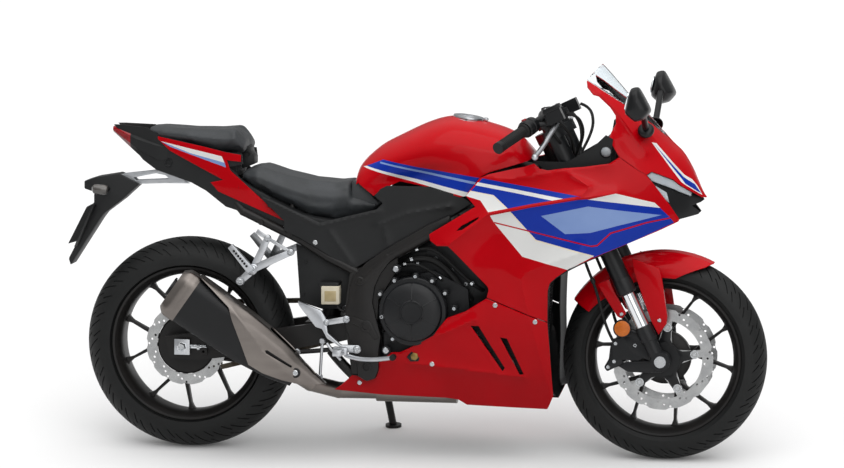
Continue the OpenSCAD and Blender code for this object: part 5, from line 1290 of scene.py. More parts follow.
# %% Ring and cap
ring = bmesh.new()
lathe(ring, [(36, -30), (43.5, -28), (44, -3), (46, -1), (54, -1.2), (57, -3), (59, -9), (59, -18)],
      CAP_SPOT, CAP_WAY, 64)
cap_side = CAP_WAY.cross(Vector((0, 1, 0)))
for step in range(6):
    angle = math.radians(30 + 60 * step)
    spot = CAP_SPOT + cap_side * 50.5 * math.cos(angle) + Vector((0, 50.5 * math.sin(angle), 0)) - CAP_WAY
    bolt(ring, spot, CAP_WAY, 3.4, 1.4, index=1)
piece("filler_ring", ring, [ALLOY, SATIN], "chassis")
lid = bmesh.new()
lathe(lid, [(0, 8.6), (14, 8.6), (15, 9.6), (30, 9.6), (31, 8.6), (40, 8.6), (45, 7), (46, 4), (46, 0.7),
            (34, 0.6), (33.6, -15), (31, -16), (0, -16)], CAP_SPOT, CAP_WAY, 64)
key_cover = bmesh.new()
plate(key_cover, [(-13, 8), (13, 8), (13, 11), (-13, 11)], -8, 8, edge=1)
plate(key_cover, [(44, 1), (57, 1), (58, 6), (54, 10), (44, 9)], -12, 12, edge=1)
add(lid, key_cover, Matrix.Translation(CAP_SPOT) @ Matrix.Rotation(CAP_TILT, 4, "Y"))
piece("filler_cap", lid, ALLOY, "fuel_cap_body", ["fuel_cap"], sharp=30)

# %% [markdown]
# ## Bars and controls
# Clip-on bars with ribbed rubber grips, a polished brake lever with a ball end, a fluid pot, and a red stop
# switch. Places run in the fork's own frame: forward of the steering axis, sideways, and up along it. The
# control cables end at the fork's clamp and the brake hoses at the calipers, so they turn with the bars.

# %% The fork's frame, grips and levers
FORK = Matrix.Translation((807, 0, 0)) @ Matrix.Rotation(math.radians(-25.5), 4, "Y")
FORK_TURN = FORK.to_quaternion()
FORK_UP = FORK_TURN @ Vector((0, 0, 1))
CABLE_R = 4.5
CLAMP_FROM, CLAMP_STEP = -50, 12


def on_fork(forward, side, up):
    """A place in the fork's frame: shares of the height forward and up, and a sideways place in mm."""
    return FORK @ Vector((forward * HEIGHT, side, up * HEIGHT))


def pixel_route(points, side):
    """A route through (pixel x, pixel y, sideways place) points, or its mirror image with side -1."""
    route = []
    for across, down, y in points:
        x, z = seen((across, down), y)
        route.append(Vector((x, side * y, z)))
    return route


grips, levers, controls = bmesh.new(), bmesh.new(), bmesh.new()
for side in (-1, 1):
    start, end = on_fork(-0.02, side * 230, 0.95), on_fork(-0.075, side * 345, 0.94)
    way, long = (end - start).normalized(), (end - start).length
    ribs = [(11.2, 1), (20, 1), (21, 4), (20, 7)]
    for step in range(20):
        at = 9 + step * (long - 14) / 20
        ribs += [(15.2, at), (16.4, at + 1.4), (16.4, at + 3.4), (15.2, at + 4.6)]
    lathe(grips, ribs + [(14, long - 1), (11.2, long - 1)], start, way, 32)
    lever = [on_fork(0.055, side * 172, 0.93), on_fork(0.045, side * 200, 0.922),
             on_fork(0.03, side * 231, 0.91), on_fork(0.012, side * 280, 0.893),
             on_fork(-0.01, side * 331, 0.88)]
    tube(levers, lever, 7)
    lathe(levers, [(0, 9), (5, 8), (8.5, 4), (9.5, 0), (8.5, -4), (5, -8), (0, -9)], lever[-1],
          (lever[-1] - lever[-2]), 20)
    pot = on_fork(0.06, side * 182, 0.95)
    box = bmesh.new()
    if side < 0:
        plate(box, [(-26, 17), (26, 17), (27, 22), (25, 30), (-25, 30), (-27, 22)], -20, 20, edge=2)
    plate(box, [(-30, -18), (22, -18), (22, 16), (-30, 16)], -16.5, 16.5, edge=4)
    add(controls, box, Matrix.Translation(pot) @ FORK_TURN.to_matrix().to_4x4())
    for dx in (-18, 18):
        head = pot + FORK_UP * (30 if side < 0 else 16) + FORK_TURN @ Vector((dx, 0, 0))
        bolt(controls, head, FORK_UP, 3.4, 2, index=1)
    hub = start - way * 26
    lathe(controls, [(0, -26), (20, -26), (24, -22), (25, -4), (23, -2), (23, 0), (25, 2), (25, 20),
                     (22, 25), (0, 25)], hub, way, 28)
    lathe(controls, [(0, 9), (6, 9), (8, 7), (8, -4)], hub + FORK_UP * 20 + way * 8, FORK_UP, 16,
          index=2 if side < 0 else 0)
    lathe(controls, [(0, 5), (5, 5), (6, 3), (6, -6)], hub + FORK_UP * 20 - way * 12, FORK_UP, 12)
CABLES = [[(566, 113, -172), (577, 115, -150), (584, 124, -125), (584, 140, -100)],
          [(556, 121, -170), (567, 127, -150), (577, 140, -115)],
          [(548, 126, -176), (556, 138, -150), (566, 150, -115)]]
for k, cable in enumerate(CABLES):
    for side in (1, -1):
        clamp = on_fork(0.03, side * (CLAMP_FROM + CLAMP_STEP * k), 0.82)
        tube(controls, pixel_route(cable, side) + [clamp], CABLE_R, index=3)
HOSE = [(584, 258, -112), (588, 270, -118), (593, 281, -118), (598, 296, -114), (603, 318, -108),
        (610, 336, -93), (614.5, 343, -86)]
for side in (1, -1):
    route = pixel_route(HOSE, side)
    tube(controls, route, CABLE_R, index=3)
    lathe(controls, [(4.8, -7), (7, -7), (7, 7), (4.8, 7), (4.8, -7)], route[2], route[3] - route[1], 16)
piece("ribbed_grips", grips, RUBBER, "steering", ["grips"], sharp=60)
piece("control_levers", levers, ALLOY, "steering", sharp=60)
piece("control_housings", controls, [SATIN, BRIGHT, RED_LENS, RUBBER], "steering", sharp=30)

# %% [markdown]
# ## Mirrors
# Each mirror is a rounded shell on a thin stalk with a flat glass to the rear. The shell is lofted sideways
# from neck to tip; the glass is a bevelled plate in its rear mouth.

# %% Mirror shells, stalks and glass
shells = bmesh.new()
MIRROR_SPOT = Vector((0.465 * WHEELBASE, 0, 0.925 * HEIGHT))
MIRROR_PX = [(631.2, 87.9), (639.2, 86.5), (652.4, 110.8), (644.9, 119.4), (635.8, 121.7), (624.9, 112.6)]
MIRROR_MIDDLE = -320
MIRROR_ROWS = [(259, 0.2), (264, 0.5), (280, 0.8), (305, 0.96), (335, 1.0), (360, 0.93), (374, 0.72),
               (380, 0.3)]
mirror_outline = all_seen(MIRROR_PX, MIRROR_MIDDLE)
mirror_core = [sum(values) / len(MIRROR_PX) for values in zip(*mirror_outline)]


def mirror_place(u, v):
    """The right shell, from its neck to its tip."""
    side, size = along(MIRROR_ROWS, u)
    x, z = ring_point(mirror_outline, v)
    return Vector((mirror_core[0] + (x - mirror_core[0]) * size, -side,
                   mirror_core[1] + (z - mirror_core[1]) * size))


add(shells, closed_loft(32, 60, mirror_place))
PANE_ENDS_PX = [(629.9, 92), (625.9, 110)]
pane_top, pane_foot = (Vector((x, MIRROR_MIDDLE, z)) for x, z in all_seen(PANE_ENDS_PX, MIRROR_MIDDLE))
pane_up = (pane_top - pane_foot).normalized()
pane_back = Vector((0, 1, 0)).cross(pane_up)
PANE_HALF = 40
pane_tall = (pane_top - pane_foot).length / 2
PANE_CORNERS = [(-1, -0.45), (-0.75, -0.85), (0.7, -1), (0.92, -0.8), (1, 0.7), (0.85, 0.95), (-0.7, 0.9),
                (-0.95, 0.6)]
pane = bmesh.new()
plate(pane, [(x * PANE_HALF, z * pane_tall) for x, z in PANE_CORNERS], -2, 2, edge=0.6, index=1)
pane_turn = Matrix((Vector(OUTWARD), pane_back, pane_up)).transposed().to_4x4()
add(shells, pane, Matrix.Translation((pane_top + pane_foot) / 2) @ pane_turn)
base = Vector((0.465 * WHEELBASE, -80, 0.83 * HEIGHT))
neck = MIRROR_SPOT + Vector((0, -266, -6))
stalk = [base, base + Vector((0, -30, 12)), base.lerp(neck, 0.5) + Vector((2, 0, 6)),
         neck + Vector((0, 20, -6)), neck]
tube(shells, stalk, 9.6)
lathe(shells, [(0, 5), (14, 5), (21, 2), (24, -3), (24, -8)], base + Vector((0, -42, 22)), (0, -0.75, 0.5),
      28)
both_sides(shells, APART)
piece("mirror_pair", shells, [SATIN, MIRROR], "chassis", ["mirrors"], sharp=45)

# %% [markdown]
# ## Brackets and pegs
# The footrest plates and the passenger's hangers are cast aluminium links between bolted eyes. A link is a
# bevelled plate between two turned eyes; each eye carries a bolt.


# %% Links, eyes and pegs
def link(bm, start, end, wide_start, wide_end, near, far, eyes=True):
    """A cast link between two (x, z) places, with an eye and a bolt at each end."""
    a, b = Vector(start), Vector(end)
    across = Vector((-(b - a).y, (b - a).x)).normalized()
    outline = [a + across * wide_start, a - across * wide_start, b - across * wide_end, b + across * wide_end]
    plate(bm, [tuple(p) for p in outline], near, far, edge=1.6)
    for spot, wide in ((a, wide_start), (b, wide_end)) if eyes else ():
        high = near - far
        lathe(bm, [(0, 2), (wide * 0.9, 2), (wide * 1.15, 0), (wide * 1.15, -high), (0, -high)],
              (spot.x, far, spot.y), (0, -1 if far < near else 1, 0), 20)
        bolt(bm, Vector((spot.x, far - 2, spot.y)), OUTWARD, wide * 0.72, 4, index=1)


brackets = bmesh.new()
HANGER = all_seen([(267.3, 238.4), (290.5, 252.4), (253.3, 268.6), (256.1, 231.4)], -156)
link(brackets, HANGER[0], HANGER[2], 9, 11, -146, -158)
link(brackets, HANGER[1], HANGER[2], 9, 12, -146, -158)
link(brackets, HANGER[0], HANGER[1], 5, 5, -147, -153, eyes=False)
link(brackets, HANGER[3], HANGER[0], 8, 5, -148, -152, eyes=False)
peg_low, peg_high = seen((251, 271), -172), seen((230, 246), -176)
link(brackets, peg_low, peg_high, 12, 9, -164, -178, eyes=False)
for step in range(7):
    k = 0.2 + 0.1 * step
    rib = [peg_low[i] + (peg_high[i] - peg_low[i]) * k for i in (0, 1)]
    lathe(brackets, [(0, 2.5), (3, 2.5), (4, 0), (4, -3)], (rib[0], -178, rib[1]), OUTWARD, 8, index=2)
end_eye = seen((240, 281.4), -168)
link(brackets, end_eye, peg_low, 10, 12, -150, -164)
lathe(brackets, [(0, 3), (11, 3), (13, 0), (13, -12)], (end_eye[0], -165, end_eye[1]), OUTWARD, 24)
REST_PX = [(297.9, 300.8), (321.5, 310.4), (325.9, 318), (328, 333), (341.2, 344.8), (357.2, 345),
           (360.5, 349.3), (357.2, 353.4), (349, 352.4), (327.2, 338.4), (322.1, 328.9), (315.7, 326.9),
           (299.1, 305.3)]
REST_ARM = all_seen([(326.5, 322.5), (346.3, 319.3), (357, 349.3)], -170)
plate(brackets, all_seen(REST_PX, -168), -160.5, -173, edge=2)
link(brackets, REST_ARM[0], REST_ARM[1], 8, 9, -161, -173)
lathe(brackets, [(0, 2), (10, 2), (12, 0), (12, -12)], (REST_ARM[2][0], -173, REST_ARM[2][1]), OUTWARD, 20)
bolt(brackets, Vector((REST_ARM[2][0], -175, REST_ARM[2][1])), OUTWARD, 8, 5, index=1)
rest = seen((340, 351), -190)
peg = bmesh.new()
plate(peg, [(-22, -12), (20, -12), (22, 10), (-20, 12)], -174, -196, edge=3)
for step in range(8):
    plate(peg, [(-13, -9), (13, -9), (13, 9), (-13, 9)], -199 - step * 6.4, -203 - step * 6.4, edge=1.2)
plate(peg, [(-11, -7.5), (11, -7.5), (11, 7.5), (-11, 7.5)], -196, -252, edge=1.5)
add(brackets, peg, Matrix.Translation((rest[0], 0, rest[1])))
pedal = [Vector((rest[0] + 14, -180, rest[1] - 12)), Vector((rest[0] + 50, -196, rest[1] - 26)),
         Vector((rest[0] + 110, -206, rest[1] - 24)), Vector((rest[0] + 160, -212, rest[1] - 12))]
tube(brackets, pedal, 6.5)
lathe(brackets, [(0, 14), (8, 14), (9, 12), (9, -12), (8, -14), (0, -14)], pedal[-1], (0, 1, 0), 20, index=2)
both_sides(brackets, APART)
piece("rest_brackets", brackets, [ALLOY, BRIGHT, RUBBER], "chassis",
      ["footrests", "passenger_pegs"], sharp=30)

# %% [markdown]
# ## Plate holder
# A pressed light-alloy arm with a long slot reaches back from the tail; a moulded black bracket hangs from
# it with the blank plate behind it, and carries the two indicators.

# %% Arm, bracket and lamps
tail_bm = bmesh.new()
ARM_MARGIN = 20
ARM_PX = [(117.9, 174.5), (155.8, 170.3), (169.8, 171), (190, 183.5), (165, 183.2), (136.1, 184)]
ARM_SLOT_PX = [(133.3, 177.6), (155.8, 173.3), (165.6, 175.4), (169.1, 179), (136.1, 180.4)]
arm = grid(40, 14, lambda u, v: Vector((-960 + 280 * u, -20, 740 + 80 * v)))
panel(arm, ARM_PX, [ARM_SLOT_PX], margin=ARM_MARGIN)
both_sides(arm)
piece("plate_arm", arm, ALLOY, "chassis", wall=4, edge=0.8)
BRACKET_PX = [(84.2, 180.9), (95.4, 177.3), (117.9, 173.8), (138.9, 184.4), (122.1, 199.8), (104, 213.5),
              (99.6, 219.4), (80, 250), (70.5, 265), (68.5, 258.5), (77.4, 241), (72, 242.6), (67.8, 243.8),
              (86.4, 206.8), (93.8, 203), (94, 192), (84.2, 188.6)]
plate(tail_bm, all_seen(BRACKET_PX, -40), -40, 40, edge=3)
top_pivot, low_foot = seen((97, 205), -60), seen((79, 246), -60)
slab_way = Vector((low_foot[0] - top_pivot[0], 0, low_foot[1] - top_pivot[1]))
plate_bm = bmesh.new()
long = slab_way.length
plate(plate_bm, [(0, 0), (3, 0), (3, long), (0, long)], -88, 88, edge=0.8)
tilt = math.atan2(slab_way.x, slab_way.z)
hang = Matrix.Translation((top_pivot[0] - 6, 0, top_pivot[1]))
add(tail_bm, plate_bm, hang @ Matrix.Rotation(tilt, 4, "Y"))
for side in (-1, 1):
    spot = seen((104, 190.5), -90)
    stalk = Vector((spot[0], side * 36, spot[1]))
    tube(tail_bm, [stalk, stalk + Vector((0, side * 20, 0)), stalk + Vector((0, side * 44, 2))], 8)
    lathe(tail_bm, [(0, 34), (7, 33), (13, 28), (15, 18), (15, -4), (12, -12), (0, -14)],
          stalk + Vector((0, side * 66, 3)), (-1, 0, 0.08), 28, index=1)
reflector = seen((96, 196), 0)
lathe(tail_bm, [(0, 5), (6, 5), (11, 3), (12, 0), (12, -4)], (reflector[0], 0, reflector[1]), (-1, 0, 0),
      20, index=2)
piece("plate_bracket", tail_bm, [GRAINED, SMOKE, RED_LENS], "chassis",
      ["plate_holder", "rear_indicators"], sharp=35)

# %% [markdown]
# ## Front wheel's fittings
# Four-piston calipers hang behind the fork legs on cast arms, an amber reflector is bolted beside each, and
# the fork's sliding tube carries a dust seal.

# %% Calipers, reflectors and seals
front_bm = bmesh.new()
CALIPER_PX = [(612.8, 339), (621.8, 336.6), (626.4, 341.5), (622, 353), (623.5, 364.5), (613.2, 368.5),
              (607, 371.5), (604, 367), (608.8, 359), (610.2, 347)]
plate(front_bm, all_seen(CALIPER_PX, -92), -74, -97, edge=4)
plate(front_bm, all_seen(CALIPER_PX, -60), -42, -54, edge=4)
for pixel in ((615.5, 343.5), (614, 361.5), (635, 345.4), (607.9, 367)):
    x, z = seen(pixel, -99)
    lathe(front_bm, [(8, -14), (8, 0), (0, 0)], (x, -96, z), OUTWARD, 16)
    bolt(front_bm, Vector((x, -96, z)), OUTWARD, 6, 5, index=1)
ARM_FOOT_PX = [(624, 337), (640, 336.5), (661, 352), (669, 366), (662, 372.5), (650, 373), (628, 372),
               (618, 366), (626, 362), (650, 361), (634, 354), (627, 346)]
plate(front_bm, all_seen(ARM_FOOT_PX, -97), -86, -99, edge=2.5)
spot = seen((622.2, 328.6), -112)
lathe(front_bm, [(0, 3.5), (20, 3.5), (23, 2.5), (23.5, 0)], (spot[0], -112, spot[1]), OUTWARD, 36, index=2)
lathe(front_bm, [(23.4, 2.8), (26, 2.8), (27, 1), (27, -6), (0, -7)], (spot[0], -112, spot[1]), OUTWARD, 36)
tube(front_bm, [(spot[0], -106, spot[1]), (spot[0] + 20, -104, spot[1] - 4),
                (spot[0] + 50, -104, spot[1] - 12)], 5)
FORK_OFF = 31.7
for up, rings in ((0.475, [(21, -14), (25, -12), (29, -8), (29.5, 4), (28, 30), (27.4, 34)]),
                  (0.37, [(21, 4), (24.5, 3), (25.5, -4), (25.5, -40), (23, -44)]),
                  (0.62, [(27.2, -3), (28.4, -2), (28.4, 2), (27.2, 3)])):
    lathe(front_bm, rings, FORK @ Vector((FORK_OFF, -105, up * HEIGHT)), FORK_UP, 40)
both_sides(front_bm, APART)
piece("caliper_set", front_bm, [CAST_BLACK, BRIGHT, AMBER], "steering", ["front_calipers"],
      sharp=30)

# %% [markdown]
# ## Liner and guard plate
# Behind the fairing's front edge a black liner turns inwards to the radiator. It could be a plate of its
# own; here it starts on the fairing's own surface, so that no gap shows between them. A guard plate closes
# the space over the swingarm.


# %% Liner and guard plate
def fairing_spot(pixel):
    """The place on the right fairing or belly panel behind a pixel."""
    return belly_surface(*fairing_shares(*trace(plain, [pixel])[0]))


LINER_OUT_PX = [(604, 254), (586, 261.5), (567, 270.8), (556.4, 277.3), (549.7, 283.3), (547.6, 291),
                (547.3, 322), (549, 350), (551.4, 387.4), (555.1, 396.2)]
LINER_DEEP = [60, 72, 76, 72, 66, 60, 52, 46, 44, 44]
liner_out, liner_in = [], []
LINER_BACK = 14
for pixel, deep in zip(LINER_OUT_PX, LINER_DEEP):
    outer = fairing_spot(pixel) + Vector((0, 3, 0))
    liner_out.append(tuple(outer))
    liner_in.append((outer.x - LINER_BACK, outer.y + deep, outer.z))
liner = grid(10, 40, lambda u, v: Vector(along(liner_out, v)).lerp(Vector(along(liner_in, v)), u)
             + Vector((0, -6 * math.sin(math.pi * u), 0)))
face_away(liner, FAR_LEFT)
both_sides(liner, APART)
piece("fairing_liner", liner, GRAINED, "chassis", wall=3)
guard_bm = bmesh.new()
GUARD_PX = [(296, 244), (318, 251), (353, 268), (353, 300), (340, 309), (322, 309), (300, 302)]
plate(guard_bm, all_seen(GUARD_PX, -118), -112, -118, edge=2)
for pixel in ((303, 294), (306, 262), (340, 282)):
    x, z = seen(pixel, -119)
    bolt(guard_bm, Vector((x, -118, z)), OUTWARD, 5, 3)
lid_low, lid_high = seen((320.4, 285.4), -150), seen((339.7, 282), -150)
lid_outline = [(lid_low[0], lid_low[1]), (lid_high[0], lid_low[1]), (lid_high[0], lid_high[1]),
               (lid_low[0], lid_high[1])]
plate(guard_bm, lid_outline, -118, -168, edge=2)
piece("inner_guard", guard_bm, GRAINED, "chassis")

# %% [markdown]
# ## Frame castings
# Under the side cover a cast spar runs down into the pivot plate that carries the swingarm. In the CAD the
# frame is tubes and a plain plate; the casting's face goes over them, with the pivot's ring and its bolts.

# %% Spar and pivot plate on each side
castings = bmesh.new()
CASTING_PX = [(349.4, 285.6), (353, 276), (366.2, 262.5), (383, 250.5), (398.4, 241.5), (427.5, 225),
              (450, 215), (450, 224.4), (429, 238.2), (401.4, 253.5), (389.2, 262.7), (380, 275),
              (374.7, 287), (372.4, 302.5), (377, 322.4), (380.8, 336.1), (378.5, 353), (378.5, 369.8),
              (375, 378.8), (366.2, 381.5), (357.5, 376.5), (355.5, 353), (350, 340.7), (345.3, 327),
              (344.8, 310.1), (348.6, 299.4)]
CASTING_IN, CASTING_OUT = -140, -167
plate(castings, all_seen(CASTING_PX, CASTING_OUT), CASTING_IN, CASTING_OUT, edge=5)
RIB_PX = [(352, 316), (372, 324), (379, 338), (374.5, 340), (368, 331), (350, 322)]
plate(castings, all_seen(RIB_PX, CASTING_OUT), CASTING_OUT + 4, CASTING_OUT - 3, edge=1.5)
for pixel, radius in (((366.2, 326.2), 17), ((359.8, 281), 13), ((366.5, 367.5), 14)):
    x, z = seen(pixel, CASTING_OUT)
    lathe(castings, [(radius, -4), (radius, 3), (radius * 0.8, 4.5), (radius * 0.66, 4.5),
                     (radius * 0.6, 1), (0, 1)], (x, CASTING_OUT, z), OUTWARD, 28)
GUSSET_PX = [(343, 260), (400, 234), (440, 216), (440, 232), (395, 260), (362, 284), (348, 284)]
plate(castings, all_seen(GUSSET_PX, -116), -108, -116, edge=1.5)
both_sides(castings, APART)
piece("frame_castings", castings, POWDER, "chassis", sharp=30)

# %% [markdown]
# ## Engine bay
# Between the spar and the fairing the eye meets the cylinder head and the hoses with their clamps; behind
# them lie the air box and, lower down, the brake linkage. The head is a stack of bevelled plates; hoses are
# tubes along listed routes that end in the head.

# %% Cylinder head, hoses and clamps
bay = bmesh.new()
HEAD_PX = [(388, 268), (400, 255), (431, 238), (447, 246), (472, 270), (489, 287), (489, 299), (470, 312),
           (456, 304), (440, 284), (415, 274)]
HEAD_LAYERS = ((-20, -96, 5), (-96, -102, 2), (-102, -108, 2))
for near, far, edge in HEAD_LAYERS:
    plate(bay, all_seen(HEAD_PX, far), near, far, edge=edge)
BAY_HOSES = [([(404, 262), (420, 256), (440, 262), (457, 280), (470, 300)], -128, 10),
             ([(410, 252), (424, 246), (441, 252), (462, 276), (482, 291)], -136, 6),
             ([(398, 266), (412, 262), (431, 270), (449, 286)], -140, 4),
             ([(392, 272), (384, 290), (381, 312), (384, 334)], -150, 4)]
for pixels, side, radius in BAY_HOSES:
    route = [Vector((x, side, z)) for x, z in all_seen(pixels, side)]
    route = [route[0] + Vector((0, 30, 0))] + route + [route[-1] + Vector((0, 30, 0))]
    tube(bay, route, radius, index=1)
    for k in (1, len(route) - 3):
        lathe(bay, [(radius + 0.5, -4), (radius + 2, -4), (radius + 2, 4), (radius + 0.5, 4),
                    (radius + 0.5, -4)], route[k].lerp(route[k + 1], 0.5), route[k + 1] - route[k], 20,
              index=2)
for pixel in ((418, 263), (436, 258), (452, 270), (466, 284)):
    x, z = seen(pixel, -108)
    bolt(bay, Vector((x, -108, z)), OUTWARD, 6, 5, index=2)
both_sides(bay, APART)
piece("engine_bay", bay, [CAST_BLACK, RUBBER, BRIGHT], "chassis", sharp=35)

# %% Air box under the tank
airbox = bmesh.new()
AIRBOX = [(140, 705), (318, 735), (318, 850), (250, 862), (140, 862)]
plate(airbox, AIRBOX, -104, 104, edge=10)
for step in range(4):
    x = 165 + 40 * step
    plate(airbox, [(x, 722), (x + 8, 722), (x + 8, 845), (x, 845)], -107, 107, edge=2)
piece("air_box", airbox, GRAINED, "chassis")

# %% Brake linkage and the link under the pivot
linkage = bmesh.new()
LINKAGE = [([(322.5, 340), (321, 360), (320, 377)], -150, 4.5, 1),
           ([(297, 352), (315, 351), (337, 349)], -140, 7, 0),
           ([(331, 350), (343, 366), (358, 379)], -122, 15, 0),
           ([(327, 343), (333, 352), (341, 360)], -146, 5, 1)]
for pixels, side, radius, index in LINKAGE:
    tube(linkage, [(x, side, z) for x, z in all_seen(pixels, side)], radius, index=index)
for pixel, side, radius in (((322.5, 341), -150, 9), ((320, 377), -150, 8), ((297.5, 352), -140, 10)):
    x, z = seen(pixel, side)
    lathe(linkage, [(0, 9), (radius - 2, 9), (radius, 7), (radius, -7), (radius - 2, -9), (0, -9)],
          (x, side, z), (0, 1, 0), 20, index=1)
piece("brake_linkage", linkage, [POWDER, ALLOY], "chassis", sharp=30)

# %% [markdown]
# ## Radiator fins
# The core is a pack of thin fins between two side tanks. Single real fins are a millimetre apart, too fine
# to show, so they are drawn eight millimetres apart.

# %% Fins over the core's front
fins = bmesh.new()
CORE_LOW, CORE_HIGH = Vector((338.4, 0, 334)), Vector((359, 0, 632))
FIN_COUNT, FIN_HALF = 36, 150
for step in range(FIN_COUNT):
    spot = CORE_LOW.lerp(CORE_HIGH, step / (FIN_COUNT - 1))
    plate(fins, [(spot.x - 1, spot.z - 1.4), (spot.x + 3, spot.z - 1.4), (spot.x + 3, spot.z + 1.4),
                 (spot.x - 1, spot.z + 1.4)], -FIN_HALF, FIN_HALF, edge=0.5)
for side in (-1, 1):
    tank_box = [(CORE_LOW.x - 4, 330), (CORE_LOW.x + 5, 330), (CORE_HIGH.x + 5, 636), (CORE_HIGH.x - 4, 636)]
    plate(fins, tank_box, side * (FIN_HALF + 1), side * (FIN_HALF + 17), edge=2)
piece("radiator_core", fins, SATIN, "chassis")

# %% [markdown]
# ## Fairing fasteners and vents
# Bright button bolts hold the panels, a dull plug sits in a black diamond-shaped recess, and each belly
# vent is closed behind by a black grille of slanted fins. Their places are pixels cast onto the panel's own
# surface, so they sit on it.

# %% Bolts, plug and grilles
fasteners = bmesh.new()
PANEL_BOLTS_PX = [(495.2, 305.2), (535.2, 321.8), (432.4, 363.7), (359.7, 382.4)]
for pixel in PANEL_BOLTS_PX:
    bolt(fasteners, fairing_spot(pixel), OUTWARD, 7, 4)
plug = fairing_spot((414.6, 356.3))
DIAMOND = [(-23, -2), (-9, 15), (23, 10), (11, -14), (-12, -15)]
plate(fasteners, [(plug.x + dx, plug.z + dz) for dx, dz in DIAMOND], plug.y + 3, plug.y - 1.2, edge=0.6,
      index=1)
lathe(fasteners, [(0, 4), (9, 4), (11.5, 3), (12.5, 0), (12.5, -3)], plug - Vector((0, 1, 0)), OUTWARD, 6,
      index=2)
both_sides(fasteners, APART)
piece("panel_fasteners", fasteners, [BRIGHT, SATIN, BRASS], "chassis", sharp=30)
grilles = bmesh.new()
for pixels in VENTS_PX:
    corners = [fairing_spot(pixel) for pixel in pixels]
    middle = sum(corners, Vector()) / len(corners)
    wide = [middle + (corner - middle) * 1.25 for corner in corners]
    inward = max(corner.y for corner in wide) + 14
    plate(grilles, [(corner.x, corner.z) for corner in wide], inward + 4, inward, edge=1)
    top, foot = (corners[0] + corners[1]) / 2, (corners[2] + corners[3]) / 2
    for step in range(6):
        spot = top.lerp(foot, (step + 0.5) / 6)
        plate(grilles, [(spot.x - 14, spot.z - 5), (spot.x + 14, spot.z + 1), (spot.x + 14, spot.z + 3),
                        (spot.x - 14, spot.z - 3)], inward, inward - 7, edge=0.6)
both_sides(grilles, APART)
piece("vent_grilles", grilles, GRAINED, "chassis")

# %% [markdown]
# ## Small fittings
# What is left is small and bolted on: the brake fluid pot, the chain adjusters at the axle, the front
# indicators in the inner panels, the dash face, and the bolts of the covers, mudguard and muffler shield.

# %% Fluid pot
pot_bm = bmesh.new()
FLUID = finish("brake_fluid_behind_polyethylene", "b7a67e", "ab9a72", 0.3, 0.05, 2, 0.01, 20)
POT_PX = [(320.9, 286), (339.3, 286), (339.3, 304.7), (320.9, 304.7)]
WINDOW_PX = [(324.5, 291), (336, 291), (336, 301.5), (324.5, 301.5)]
POT_OUT = -170
plate(pot_bm, all_seen(POT_PX, POT_OUT), -136, POT_OUT, edge=4)
plate(pot_bm, all_seen(WINDOW_PX, POT_OUT), POT_OUT + 2, POT_OUT - 0.8, edge=0.6, index=1)
hose_top = seen((337, 305), -152)
hose_end = seen((352, 312), -146)
tube(pot_bm, [(hose_top[0], -152, hose_top[1] + 4), (hose_top[0], -152, hose_top[1] - 8),
              (hose_top[0] + 12, -150, hose_top[1] - 22), (hose_end[0], -146, hose_end[1])], 4, index=2)
piece("fluid_pot", pot_bm, [MILK, FLUID, RUBBER], "chassis", ["rear_reservoir"])

# %% Chain adjusters and axle nuts
adjusters = bmesh.new()
for side in (-1, 1):
    face = side * 150.3
    plate(adjusters, [(-728, 289), (-682, 289), (-682, 335), (-728, 335)], face, face + side * 4, edge=1)
    lathe(adjusters, [(16, 4), (16, 6), (13.5, 7), (13.5, 15), (11, 17), (8, 17), (7, 14), (0, 14)],
          REAR_AXLE + Vector((0, face, 0)), (0, side, 0), 6, index=1)
    lathe(adjusters, [(0, 50), (5, 50), (6, 48), (6, 30), (10, 30), (10, 22), (6, 22), (6, 0)],
          (-684, side * 140, 312), (1, 0, 0), 12, index=1)
piece("axle_adjusters", adjusters, [ALLOY, BRIGHT], "chassis", sharp=30)

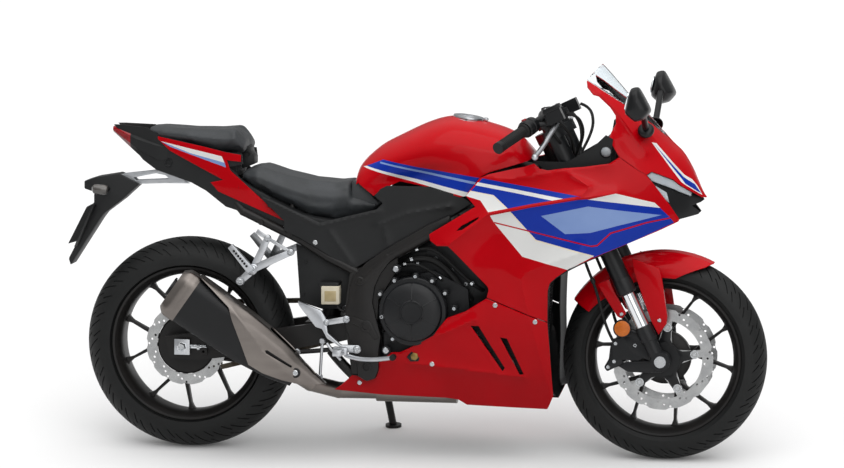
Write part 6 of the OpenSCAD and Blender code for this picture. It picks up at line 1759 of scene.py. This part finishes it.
# %% Front indicators and the dash face
front_fittings = bmesh.new()
INNER_PANEL_OUT = -150
x, z = seen((606, 152), INNER_PANEL_OUT)
spot = (x, INNER_PANEL_OUT, z)
lathe(front_fittings, [(17, -4), (17, 3), (15.4, 4.4), (14.6, 2.4)], spot, OUTWARD, 32)
lathe(front_fittings, [(14.6, 2.4), (13.4, 6), (10, 9.6), (5.4, 11.4), (0, 12)], spot, OUTWARD, 32, index=1)
both_sides(front_fittings, APART)
DASH_LOW, DASH_HIGH = Vector((549, 0, 921)), Vector((562.5, 0, 999))
dash_way = (DASH_HIGH - DASH_LOW).normalized()
dash_out = Vector((-dash_way.z, 0, dash_way.x))
for low, high, near, far, half, index in ((0, 1, 0, 4, 82, 0), (0.1, 0.9, 4, 4.8, 74, 2)):
    low_edge, high_edge = DASH_LOW.lerp(DASH_HIGH, low), DASH_LOW.lerp(DASH_HIGH, high)
    ring = [low_edge + dash_out * near, low_edge + dash_out * far, high_edge + dash_out * far,
            high_edge + dash_out * near]
    plate(front_fittings, [(p.x, p.z) for p in ring], -half, half, edge=0.4, index=index)
piece("indicators_and_dash", front_fittings, [SATIN, LAMP, SMOKE], "chassis", sharp=35)


# %% Bolts of the covers, mudguard and shield
def on_piece(name, pixel):
    """The place on a finished piece behind a pixel."""
    skin = BVHTree.FromObject(bpy.data.objects[name], bpy.context.evaluated_depsgraph_get())
    way = PARKED.to_3x3() @ ray(pixel)
    return PARKED.inverted() @ skin.ray_cast(PARKED @ EYE, way.normalized())[0]


trim_bolts = bmesh.new()
bolt(trim_bolts, on_piece("side_cover_pair", (315.3, 242.5)), OUTWARD, 7, 3.5)
lathe(trim_bolts, [(0, 1), (7, 1), (9, 3), (12, 3), (13, 0), (13, -3)],
      on_piece("tail_shell_sides", (169.1, 162.6)), OUTWARD, 24, index=1)
both_sides(trim_bolts, APART)
seat_spot = on_piece("muffler_guard", (295.3, 372.9))
lathe(trim_bolts, [(15, -3), (15, 1), (13, 2), (10, 2), (9, -1), (0, -1)], seat_spot, OUTWARD, 28, index=1)
bolt(trim_bolts, seat_spot, OUTWARD, 8, 3)
piece("cover_bolts", trim_bolts, [BRIGHT, SATIN], "chassis", sharp=30)
guard_bolts = bmesh.new()
for pixel in ((659.3, 320.5), (621.4, 314.1)):
    x, z = seen(pixel, -105)
    bolt(guard_bolts, Vector((x, -104, z)), OUTWARD, 5.5, 3)
both_sides(guard_bolts, APART)
piece("mudguard_bolts", guard_bolts, BRIGHT, "steering", sharp=30)
